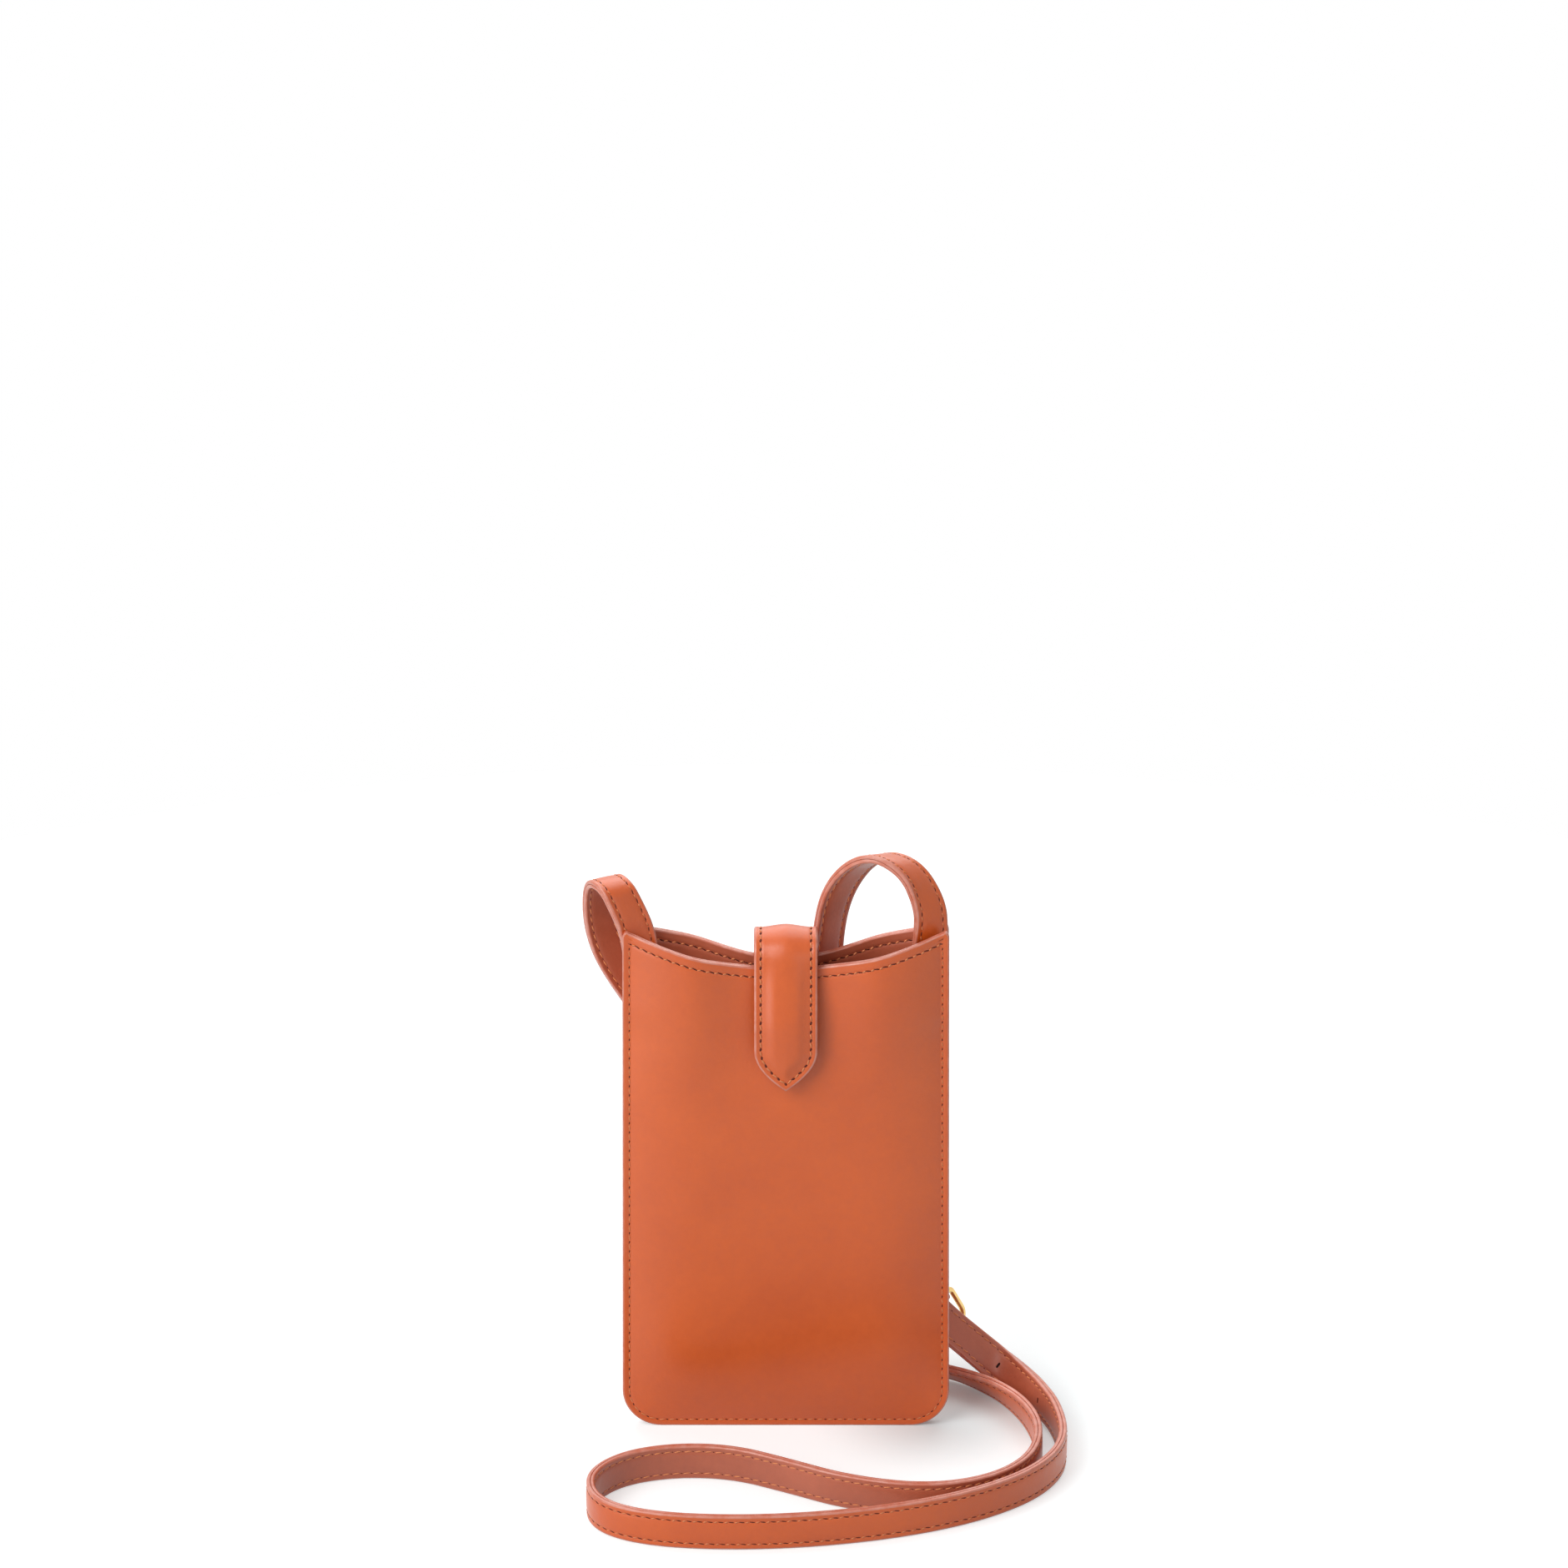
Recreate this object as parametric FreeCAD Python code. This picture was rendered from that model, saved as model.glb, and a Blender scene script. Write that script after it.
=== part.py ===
import FreeCAD, Part
import math
import os

from FreeCAD import Vector

# Phone pouch of sewn leather: two lined panels joined by a flat seam round the sides and foot,
# a snap tab over the mouth, and a two-part crossbody strap that buckles behind the pouch.
# Millimetres. +Z up, +X to the right and -Y towards the viewer of the front face. All pieces are
# drawn with the side seam in the plane y = 0 and moved at the end to centre the pouch on the origin.

# Pouch outline, with the lip's dip measured down from its corners
foot_width = 109.2
mouth_width = 106.6
corner_height = 179.0
dip_drop = 12.5
dip_softness = 20.0
foot_corner_radius = 13.0
top_corner_radius = 2.0

# Pouch layers and pocket, depths measured from the seam plane to the lining
panel_thickness = 1.4
lining_thickness = 1.0
glue_gap = 0.1
seam_gap = 0.22
waist_depth = 4.6
lip_middle_depth = 4.2
lip_side_depth = 8.8
lip_flat_reach = 8.0
lip_flare_run = 25.0
seam_margin = 3.0
side_run = 10.0
foot_run = 22.0
mouth_run = 56.5
slot_length = 27.0
slot_run = 12.0
corner_spread = 0.9
spread_run = 19.0

# Where the panels' shape is sampled: distances in from the side, heights over the foot, and the
# evenly spaced rows between the foot and the mouth and over the mouth
side_samples = (19.0, 15.0, 12.0, 9.1, 6.6, 4.6, 2.6, 0.6, -1.5)
foot_samples = (-2.0, 1.5, 4.0, 7.0, 10.0, 14.0, 18.0, 23.0, 28.0)
middle_samples = 4
mouth_samples = 12
mouth_overrun = 6.0

# Snap tab, with drops and the arch's rise measured from the middle of the lip
tab_half_width = 10.4
tab_drop = 41.0
tab_point = 13.4
anchor_drop = 38.5
tab_lining_thickness = 0.9
tab_filler_thickness = 0.9
tab_outer_thickness = 1.2
filler_half_width = 6.6
filler_tip_inset = 5.0
filler_cover = 0.9
arch_rise = 2.5
arch_clearance = 0.65
knee_clearance = 0.6
hinge_setback = 3.4
hinge_slit = 0.3

# Magnetic snap, with its drop measured from the middle of the lip
snap_drop = 25.5
snap_radius = 7.0
snap_base_thickness = 0.4
snap_cap_thickness = 0.35
magnet_thickness = 1.2
magnet_radius = 5.6
snap_hole_radius = 2.3
stud_plate_thickness = 0.5
stud_plate_radius = 6.4
stud_post_radius = 1.5
stud_post_length = 1.0
snap_air_gap = 0.3
snap_fit = 0.08
washer_radius = 5.0
washer_thickness = 0.4
leg_spacing = 5.4
leg_width = 2.0
leg_thickness = 0.5

# Straps
strap_width = 11.8
strap_layer = 1.3
strap_glue_gap = 0.1
strap_slot_fit = 0.1
tail_gap = 0.3
tail_length = 66.0
turnback_length = 26.0
fold_start = 8.0
turnback_run = 5.0
sections_per_pole = 3
hole_radius = 1.2
hole_pitch = 26.0
prong_hole_width = 2.3
prong_hole_start = 3.6
prong_hole_end = 7.5

# Buckle
wire_radius = 1.0
rail_clearance = 1.7
front_reach = 15.0
front_clearance = 0.3
heel_corner = 2.4
front_corner = 6.0
bar_fit = 0.15
prong_radius = 0.8
prong_ring_wall = 0.8
prong_ring_width = 2.2
prong_slot_width = 3.4
prong_rest_gap = 0.1
prong_overhang = 1.4
prong_entry = 1.25
prong_entry_drop = 0.5
prong_exit = 0.95
prong_exit_rise = 0.15
prong_crest = 3.0
prong_crest_rise = 1.1
prong_tip_rise = 0.3

# Keepers
keeper_length = 7.0
keeper_wall = 1.2
keeper_fit = 0.35
keeper_corner = 1.0
fixed_keeper_place = -9.0
sliding_keeper_place = -40.0

# Buckle axes: along the strap, out of its outer face, and across it; and the middle of the tail
# above the buckle's bar.
along = Vector(0.653, 0.053, -0.755).normalize()
facing = Vector(-0.45, 0.77, -0.43)
facing = (facing - along * facing.dot(along)).normalize()
across = along.cross(facing)
tail_middle = Vector(48.2, 30.0, 28.8)

# Sizes worked out from the ones above
dip_height = corner_height - dip_drop
mouth_start = dip_height - mouth_run
slot_start = corner_height - slot_length - slot_run
spread_start = corner_height - spread_run
tab_tip_height = dip_height - tab_drop
anchor_tip_height = dip_height - anchor_drop
arch_height = dip_height + arch_rise
snap_height = dip_height - snap_drop
strap_thickness = 2 * strap_layer + strap_glue_gap
half_strap = strap_thickness / 2
wall = lining_thickness + glue_gap + panel_thickness
slot_depth = half_strap + strap_slot_fit
tab_thickness = tab_lining_thickness + tab_filler_thickness + tab_outer_thickness
anchor_thickness = tab_lining_thickness + tab_outer_thickness
arch_radius = lip_middle_depth + wall + arch_clearance
lip_slope = dip_drop / (math.hypot(mouth_width / 2, dip_softness) - dip_softness)
strap_top = strap_thickness + tail_gap + half_strap
bar_height = strap_glue_gap / 2 - wire_radius - bar_fit
fold_radius = wire_radius + bar_fit + strap_layer
rail_place = strap_width / 2 + rail_clearance + wire_radius
front_height = strap_top + front_clearance + wire_radius
buckle_origin = tail_middle - facing * (strap_thickness + tail_gap)
bar_middle = buckle_origin + facing * bar_height

# Strap routes: each point with the strap's width direction there. The line is the quadratic
# B-spline of the points, so it cuts inside them.
right_route = [
    ((46.6, 0.0, 154.0), (1.0, 0.0, 0.0)),
    ((46.7, 0.0, 165.0), (1.0, 0.0, 0.0)),
    ((47.0, 0.0, 177.0), (1.0, 0.0, 0.0)),
    ((47.4, 0.6, 186.0), (0.80, 0.60, 0.0)),
    ((41.0, 3.5, 195.6), (0.45, 0.89, 0.0)),
    ((28.0, 8.0, 197.6), (0.10, 0.99, 0.0)),
    ((16.5, 13.5, 187.0), (0.55, 0.83, 0.0)),
    ((13.0, 18.0, 168.0), (0.75, 0.66, 0.0)),
    ((12.5, 17.0, 140.0), (0.95, 0.25, 0.0)),
    ((12.5, 14.5, 100.0), (1.0, 0.0, 0.0)),
    ((12.0, 14.5, 55.0), (1.0, 0.0, 0.0)),
    ((12.0, 16.0, 27.0), (0.95, 0.0, -0.30)),
    ((17.0, 22.5, 11.0), (0.72, 0.10, -0.68)),
    ((27.0, 31.0, 6.8), (0.35, 0.10, -0.93)),
    ((39.5, 34.5, 6.2), (0.15, 0.45, -0.88)),
    ((51.5, 30.5, 5.4), (0.25, 0.78, -0.62)),
    ((62.5, 23.0, 5.6), (0.22, 0.62, -0.75)),
    ((73.0, 10.5, 6.15), (0.15, 0.35, -0.92)),
    ((81.5, -8.0, 6.15), (0.0, 0.0, -1.0)),
    ((84.5, -29.0, 6.0), (0.0, 0.0, -1.0)),
    ((80.0, -50.0, 6.0), (0.0, 0.0, -1.0)),
    ((66.0, -65.0, 6.0), (0.0, 0.0, -1.0)),
    ((45.0, -71.0, 6.0), (0.0, 0.0, -1.0)),
    ((20.0, -64.5, 6.0), (0.0, 0.0, -1.0)),
    ((0.0, -52.0, 6.0), (0.0, 0.0, -1.0)),
    ((-18.0, -42.0, 6.0), (0.0, 0.0, -1.0)),
    ((-38.0, -41.0, 6.0), (0.0, 0.0, -1.0)),
    ((-55.5, -48.0, 6.0), (0.0, 0.0, -1.0)),
    ((-65.0, -63.0, 6.0), (0.0, 0.0, -1.0)),
    ((-61.5, -81.0, 6.0), (0.0, 0.0, -1.0)),
    ((-45.0, -91.0, 6.0), (0.0, 0.0, -1.0)),
    ((-18.0, -94.0, 6.0), (0.0, 0.0, -1.0)),
    ((12.0, -91.5, 6.0), (0.0, 0.0, -1.0)),
    ((42.0, -83.5, 6.0), (0.0, 0.0, -1.0)),
    ((66.0, -71.5, 6.0), (0.0, 0.0, -1.0)),
    ((84.0, -55.0, 6.0), (0.0, 0.0, -1.0)),
    ((92.5, -35.0, 6.2), (0.0, 0.0, -1.0)),
    ((90.4, -12.0, 7.2), (-0.05, 0.0, -1.0)),
    ((84.1, 6.1, 7.8), (-0.12, -0.06, -0.99)),
    ((78.4, 17.3, 8.4), (-0.25, -0.15, -0.95)),
    ((72.2, 25.8, 9.1), (-0.40, -0.38, -0.83)),
]
right_route_tail = (20.0, 4.0, -30.0, -tail_length)
left_route = [
    ((-46.6, 0.0, 154.0), (1.0, 0.0, 0.0)),
    ((-46.7, 0.0, 165.0), (1.0, 0.0, 0.0)),
    ((-47.2, 0.0, 176.0), (1.0, 0.0, 0.0)),
    ((-50.6, 0.3, 184.5), (0.90, 0.43, 0.0)),
    ((-56.0, 2.0, 193.6), (0.87, 0.50, 0.0)),
    ((-60.8, 13.5, 190.4), (0.85, 0.52, 0.0)),
    ((-61.3, 18.5, 173.0), (0.87, 0.48, 0.10)),
    ((-56.3, 18.0, 157.5), (0.85, 0.30, 0.35)),
]
left_route_tail = (-132.0, -100.0, -50.0, -fold_start)


def smooth(t):
    """Soft step from 0 to 1."""
    t = min(max(t, 0.0), 1.0)
    return t * t * (3 - 2 * t)


def lip_height(x):
    """Height of the curved lip."""
    return dip_height + lip_slope * (math.hypot(x, dip_softness) - dip_softness)


def half_width(z):
    """Distance from the middle to the side edge of the panels."""
    return (foot_width + (mouth_width - foot_width) * z / corner_height) / 2


def pocket_depth(x, z):
    """Distance from the seam plane to the face of the lining."""
    inset = half_width(z) - abs(x)
    seam = seam_gap + (slot_depth - seam_gap) * smooth((z - slot_start) / slot_run)
    seam += corner_spread * smooth((z - spread_start) / (corner_height - spread_start))
    lip = lip_middle_depth + (lip_side_depth - lip_middle_depth) * smooth(
        (abs(x) - lip_flat_reach) / lip_flare_run)
    bulge = waist_depth + (lip - waist_depth) * smooth((z - mouth_start) / (dip_height - mouth_start))
    side = smooth((inset - seam_margin) / side_run)
    foot = smooth((z - seam_margin) / foot_run)
    return seam + max(bulge - seam, 0.0) * side * foot


def skin_depth(x, z):
    """Distance from the seam plane to the outer face of a panel."""
    return pocket_depth(x, z) + wall


snap_rim = [Vector(math.sin(math.radians(a)), 0, math.cos(math.radians(a))) * snap_radius
            for a in range(0, 360, 15)]
snap_seat = max(skin_depth(p.x, snap_height + p.z) for p in snap_rim) + snap_fit
snap_rise = snap_base_thickness + magnet_thickness + snap_cap_thickness + 2 * snap_fit
tab_front = snap_seat + snap_rise + snap_air_gap + stud_plate_thickness + snap_fit
knee_height = snap_height + snap_radius + knee_clearance
knee_reach = math.hypot(tab_front, arch_height - knee_height)
tab_slant = math.atan2(tab_front, arch_height - knee_height) - math.asin(arch_radius / knee_reach)
centre_shift = (tab_front + tab_thickness - lip_side_depth - wall) / 2


def sheet_columns():
    """X of the columns of points that shape a panel, closer together beside the seam."""
    half = foot_width / 2
    inner = [(half - side_samples[0]) * i / middle_samples for i in range(middle_samples)]
    right = inner + [half - s for s in side_samples]
    return [-x for x in reversed(right[1:])] + right


def sheet_rows():
    """Z of the rows of points that shape a panel, closer together at the foot and the mouth."""
    start = foot_samples[-1]
    middle = [start + (mouth_start - start) * i / middle_samples for i in range(1, middle_samples)]
    rise = corner_height + mouth_overrun - mouth_start
    upper = [mouth_start + rise * i / mouth_samples for i in range(mouth_samples + 1)]
    return list(foot_samples) + middle + upper


def panel_prism():
    """Block with the panels' outline, wide enough in depth to cut any layer."""
    reach = 40.0
    half_foot = foot_width / 2
    lean = Vector(mouth_width / 2 - half_foot, 0, corner_height).normalize()
    out = Vector(lean.z, 0, -lean.x)
    r = foot_corner_radius
    centre = Vector(half_foot - (r + r * out.z) / out.x, 0, r)
    touch = centre + out * r
    bisect = (out + Vector(0, 0, -1)).normalize()

    def mirrored(p):
        return Vector(-p.x, p.y, p.z)

    foot_end = Vector(centre.x, 0, 0)
    corner_x = mouth_width / 2
    corner = Vector(corner_x, 0, lip_height(corner_x))
    steps = 16
    lip_points = [
        Vector(corner_x * (1 - 2 * i / steps), 0, lip_height(corner_x * (1 - 2 * i / steps)))
        for i in range(steps + 1)
    ]
    lip = Part.BSplineCurve()
    lip.interpolate(lip_points)
    middle = centre + bisect * r
    edges = [
        Part.makeLine(mirrored(foot_end), foot_end),
        Part.Arc(foot_end, middle, touch).toShape(),
        Part.makeLine(touch, corner),
        lip.toShape(),
        Part.makeLine(mirrored(corner), mirrored(touch)),
        Part.Arc(mirrored(touch), mirrored(middle), mirrored(foot_end)).toShape(),
    ]
    face = Part.Face(Part.Wire(Part.__sortEdges__(edges)))
    face.translate(Vector(0, -reach, 0))
    prism = face.extrude(Vector(0, 2 * reach, 0))
    tops = [
        e for e in prism.Edges
        if abs(abs(e.CenterOfMass.x) - corner_x) < 0.01 and abs(e.CenterOfMass.z - corner.z) < 0.01
        and abs(e.CenterOfMass.y) < 0.01
    ]
    return prism.makeFillet(top_corner_radius, tops)


def sheet(side, offset, thickness, prism):
    """One layer of the pouch, offset outwards from the pocket on the side given by its sign."""
    rows = [
        [Vector(x, side * (pocket_depth(x, z) + offset), z) for z in sheet_rows()]
        for x in sheet_columns()
    ]
    surface = Part.BSplineSurface()
    surface.interpolate(rows)
    return surface.toShape().extrude(Vector(0, side * thickness, 0)).common(prism)


def disc(radius, near, far, hole=0.0):
    """Flat round piece on the snap's axis, between two distances in front of the seam plane."""
    start = Vector(0, -near, snap_height)
    forward = Vector(0, -1, 0)
    shape = Part.makeCylinder(radius, far - near, start, forward)
    if hole:
        shape = shape.cut(Part.makeCylinder(hole, far - near, start, forward))
    return shape


def legs(near, far, fit=0.0):
    """The two bendable legs of a snap half, or their slots when a fit is given."""
    thick = leg_thickness + 2 * fit
    wide = leg_width + 2 * fit
    low = snap_height - wide / 2
    return [Part.makeBox(thick, far - near, wide, Vector(side * leg_spacing / 2 - thick / 2, -far, low))
            for side in (-1, 1)]


def tab_face(low, high, tip_height):
    """Side profile of one layer of the tab, from under the back of the mouth to below the tip."""
    def stations(offset):
        radius = arch_radius + offset
        return [
            Vector(0, radius, tip_height),
            Vector(0, radius, arch_height),
            Vector(0, 0, arch_height + radius),
            Vector(0, -radius * math.cos(tab_slant), arch_height + radius * math.sin(tab_slant)),
            Vector(0, -tab_front - offset, knee_height + offset * math.tan(tab_slant / 2)),
            Vector(0, -tab_front - offset, tip_height),
        ]

    inner = stations(low)
    outer = stations(high)
    edges = [
        Part.makeLine(inner[0], inner[1]),
        Part.Arc(inner[1], inner[2], inner[3]).toShape(),
        Part.makeLine(inner[3], inner[4]),
        Part.makeLine(inner[4], inner[5]),
        Part.makeLine(inner[5], outer[5]),
        Part.makeLine(outer[5], outer[4]),
        Part.makeLine(outer[4], outer[3]),
        Part.Arc(outer[3], outer[2], outer[1]).toShape(),
        Part.makeLine(outer[1], outer[0]),
        Part.makeLine(outer[0], inner[0]),
    ]
    return Part.Face(Part.Wire(edges))


def tab_outline(half, tip_height, point):
    """Front outline of the tab as a deep block: straight sides that round into a point."""
    reach = 30.0
    top = arch_height + arch_radius + 2 * tab_thickness
    shoulder = tip_height + point
    radius = (half * half + point * point) / (2 * half)
    angle = math.asin(point / radius) / 2
    bow_x = half - radius + radius * math.cos(angle)
    bow_z = shoulder - radius * math.sin(angle)
    tip = Vector(0, -reach, tip_height)
    edges = [
        Part.makeLine(Vector(-half, -reach, top), Vector(half, -reach, top)),
        Part.makeLine(Vector(half, -reach, top), Vector(half, -reach, shoulder)),
        Part.Arc(Vector(half, -reach, shoulder), Vector(bow_x, -reach, bow_z), tip).toShape(),
        Part.Arc(tip, Vector(-bow_x, -reach, bow_z), Vector(-half, -reach, shoulder)).toShape(),
        Part.makeLine(Vector(-half, -reach, shoulder), Vector(-half, -reach, top)),
    ]
    return Part.Face(Part.Wire(edges)).extrude(Vector(0, 2 * reach, 0))


def tab_layer(low, high, half, tip_height, point, front):
    """One layer of the tab in front of the hinge slit, or of its sewn anchor behind it."""
    strip = tab_face(low, high, tip_height)
    strip.translate(Vector(-half, 0, 0))
    strip = strip.extrude(Vector(2 * half, 0, 0)).common(tab_outline(half, tip_height, point))
    size = 300.0
    middle = hinge_setback + (-hinge_slit / 2 if front else hinge_slit / 2)
    keep = Part.makeBox(size, size, size, Vector(-size / 2, middle - size if front else middle, 0))
    return strip.common(keep)


def strap_line(route, tail, tail_start, tail_width):
    """B-splines of a strap's middle line and of its width direction."""
    points = [Vector(*p) for p, _ in route] + [tail_start + along * s for s in tail]
    widths = [Vector(*w) for _, w in route] + [tail_width] * len(tail)
    line = Part.BSplineCurve()
    line.buildFromPoles(points, False, 2)
    turn = Part.BSplineCurve()
    turn.buildFromPoles(widths, False, 2)
    return line, turn


def strap_frame(line, turn, t):
    """Place on a strap, with its width direction and the normal of its outer face."""
    heading = line.tangent(t)[0]
    wide = turn.value(t)
    wide = (wide - heading * wide.dot(heading)).normalize()
    return line.value(t), wide, wide.cross(heading)


def strap_frames(line, turn):
    """Places along the whole of a strap."""
    count = sections_per_pole * (line.NbPoles - 2)
    return [strap_frame(line, turn, i / count) for i in range(count + 1)]


def strap_layer_solid(frames, low, high):
    """One layer of a strap, as a ruled loft through its cross-sections."""
    sections = []
    for place, wide, out in frames:
        a = wide * (strap_width / 2)
        inside = place + out * low
        outside = place + out * high
        corners = [inside - a, inside + a, outside + a, outside - a]
        sections.append(Part.makePolygon(corners + corners[:1]))
    return Part.makeLoft(sections, True, True)


def report_strap(name, line, solids):
    """Print a strap's length, its tightest radius and how its volume compares with its section."""
    radius = min(1 / max(line.curvature(i / 400), 1e-6) for i in range(401))
    volume = sum(s.Volume for s in solids)
    section = 2 * strap_layer * strap_width
    print(f"{name}: length {line.length():.1f}, tightest radius {radius:.1f}, "
          f"volume over section times length {volume / (section * line.length()):.3f}")


def placed(shape):
    """Shape drawn with X along the strap, Y out of its face and Z across it, put at the buckle."""
    matrix = FreeCAD.Matrix(
        along.x, facing.x, across.x, buckle_origin.x,
        along.y, facing.y, across.y, buckle_origin.y,
        along.z, facing.z, across.z, buckle_origin.z,
        0, 0, 0, 1)
    moved = shape.copy()
    moved.transformShape(matrix)
    return moved


def block(u0, u1, n0, n1, width):
    """Block between two places along the strap and two heights over it, centred across it."""
    return Part.makeBox(u1 - u0, n1 - n0, width, Vector(u0, n0, -width / 2))


def round_holes(line, turn):
    """Round adjusting holes on both sides of the one in use, spaced along the long strap."""
    in_use = tail_length + (prong_hole_start + prong_hole_end) / 2
    holes = []
    for step in (-2, -1, 1, 2):
        t = line.parameterAtDistance(line.length() - in_use - step * hole_pitch, line.FirstParameter)
        place, _, out = strap_frame(line, turn, t)
        start = place - out * strap_thickness
        holes.append(Part.makeCylinder(hole_radius, 2 * strap_thickness, start, out))
    return holes


def prong_hole():
    """Slot in the tail that the prong passes through."""
    r = prong_hole_width / 2
    depth = 4 * strap_thickness
    slot = block(prong_hole_start + r, prong_hole_end - r, 0, depth, prong_hole_width)
    ends = [Part.makeCylinder(r, depth, Vector(u, 0, 0), Vector(0, 1, 0))
            for u in (prong_hole_start + r, prong_hole_end - r)]
    return slot.multiFuse(ends)


def tail_tip():
    """What is trimmed off the tail's end to round it."""
    r = strap_width / 2
    depth = 4 * strap_thickness
    off = block(-tail_length - 1, -tail_length + r, 0, depth, strap_width + 2)
    return off.cut(Part.makeCylinder(r, depth, Vector(-tail_length + r, 0, 0), Vector(0, 1, 0)))


def buckle_frame():
    """Closed wire frame, tilted so that its front bar lies on the tail."""
    tilt = math.atan2(front_height - bar_height, front_reach)
    length = math.hypot(front_height - bar_height, front_reach)
    v = rail_place

    def at(f, side):
        return Vector(f * math.cos(tilt), bar_height + f * math.sin(tilt), side)

    def corner(f, side, r):
        back = 1 if f == 0 else -1
        turn = -1 if side > 0 else 1
        mid = r - r / math.sqrt(2)
        return at(f + back * r, side), at(f + back * mid, side + turn * mid), at(f, side + turn * r)

    a = corner(0, v, heel_corner)
    b = corner(length, v, front_corner)
    c = corner(length, -v, front_corner)
    d = corner(0, -v, heel_corner)
    path = Part.Wire([
        Part.makeLine(a[0], b[0]),
        Part.Arc(b[0], b[1], b[2]).toShape(),
        Part.makeLine(b[2], c[2]),
        Part.Arc(c[2], c[1], c[0]).toShape(),
        Part.makeLine(c[0], d[0]),
        Part.Arc(d[0], d[1], d[2]).toShape(),
        Part.makeLine(d[2], a[2]),
        Part.Arc(a[2], a[1], a[0]).toShape(),
    ])
    section = Part.Wire([Part.makeCircle(wire_radius, a[0], b[0] - a[0])])
    return path.makePipeShell([section], True, False)


def buckle_prong():
    """Prong: a ring round the bar and an arm through the tail that rests on the front bar."""
    inner = wire_radius + bar_fit
    outer = inner + prong_ring_wall
    start = Vector(0, bar_height, -prong_ring_width / 2)
    axis = Vector(0, 0, 1)
    ring = Part.makeCylinder(outer, prong_ring_width, start, axis)
    bore = Part.makeCylinder(inner, prong_ring_width, start, axis)
    hole_middle = (prong_hole_start + prong_hole_end) / 2
    rest = front_height + wire_radius + prong_rest_gap + prong_radius
    under = strap_thickness + tail_gap - half_strap - prong_radius
    over = strap_top + prong_radius
    points = [
        Vector(inner + prong_ring_wall / 2, bar_height + prong_ring_wall, 0),
        Vector(hole_middle - prong_entry, under - prong_entry_drop, 0),
        Vector(hole_middle + prong_exit, over + prong_exit_rise, 0),
        Vector(hole_middle + prong_crest, over + prong_crest_rise, 0),
        Vector(front_reach + prong_overhang, rest + prong_tip_rise, 0),
    ]
    pieces = []
    for p, q in zip(points, points[1:]):
        pieces.append(Part.makeCylinder(prong_radius, (q - p).Length, p, q - p))
        pieces.append(Part.makeSphere(prong_radius, q))
    return ring.multiFuse(pieces).cut(bore)


def keeper(place, low, high):
    """Leather loop round everything between two heights, at a place along the strap."""
    inner_width = strap_width + 2 * keeper_fit
    start = place - keeper_length / 2
    end = place + keeper_length / 2
    inner = block(start, end, low - keeper_fit, high + keeper_fit, inner_width)
    outer = block(start, end, low - keeper_fit - keeper_wall, high + keeper_fit + keeper_wall,
                  inner_width + 2 * keeper_wall)
    edges = [e for e in outer.Edges if abs(e.Length - keeper_length) < 0.01
             and abs(e.Vertexes[0].X - e.Vertexes[1].X) > 0.01]
    return outer.makeFillet(keeper_corner, edges).cut(inner)


def fold():
    """End of the buckle strap's outer leather: round the bar and turned back under the lining."""
    bore = wire_radius + bar_fit
    under = -half_strap - strap_glue_gap
    top = half_strap
    low = bar_height - fold_radius
    upper = [Vector(-fold_start, top, 0), Vector(0, top, 0)]
    lower = [Vector(0, low, 0), Vector(-turnback_run, under - strap_layer, 0),
             Vector(-turnback_length, under - strap_layer, 0), Vector(-turnback_length, under, 0),
             Vector(-turnback_run, under, 0), Vector(0, bar_height - bore, 0)]
    back = [Vector(0, bar_height + bore, 0), Vector(-fold_start, bar_height + bore, 0)]
    edges = [Part.makeLine(*upper)]
    edges.append(Part.Arc(upper[1], Vector(fold_radius, bar_height, 0), lower[0]).toShape())
    edges += [Part.makeLine(p, q) for p, q in zip(lower, lower[1:])]
    edges.append(Part.Arc(lower[-1], Vector(bore, bar_height, 0), back[0]).toShape())
    edges += [Part.makeLine(*back), Part.makeLine(back[1], upper[0])]
    face = Part.Face(Part.Wire(edges))
    face.translate(Vector(0, 0, -strap_width / 2))
    slot = block(-fold_radius, 2 * fold_radius, low - 1, top + 1, prong_slot_width)
    return face.extrude(Vector(0, 0, strap_width)).cut(slot)


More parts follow.
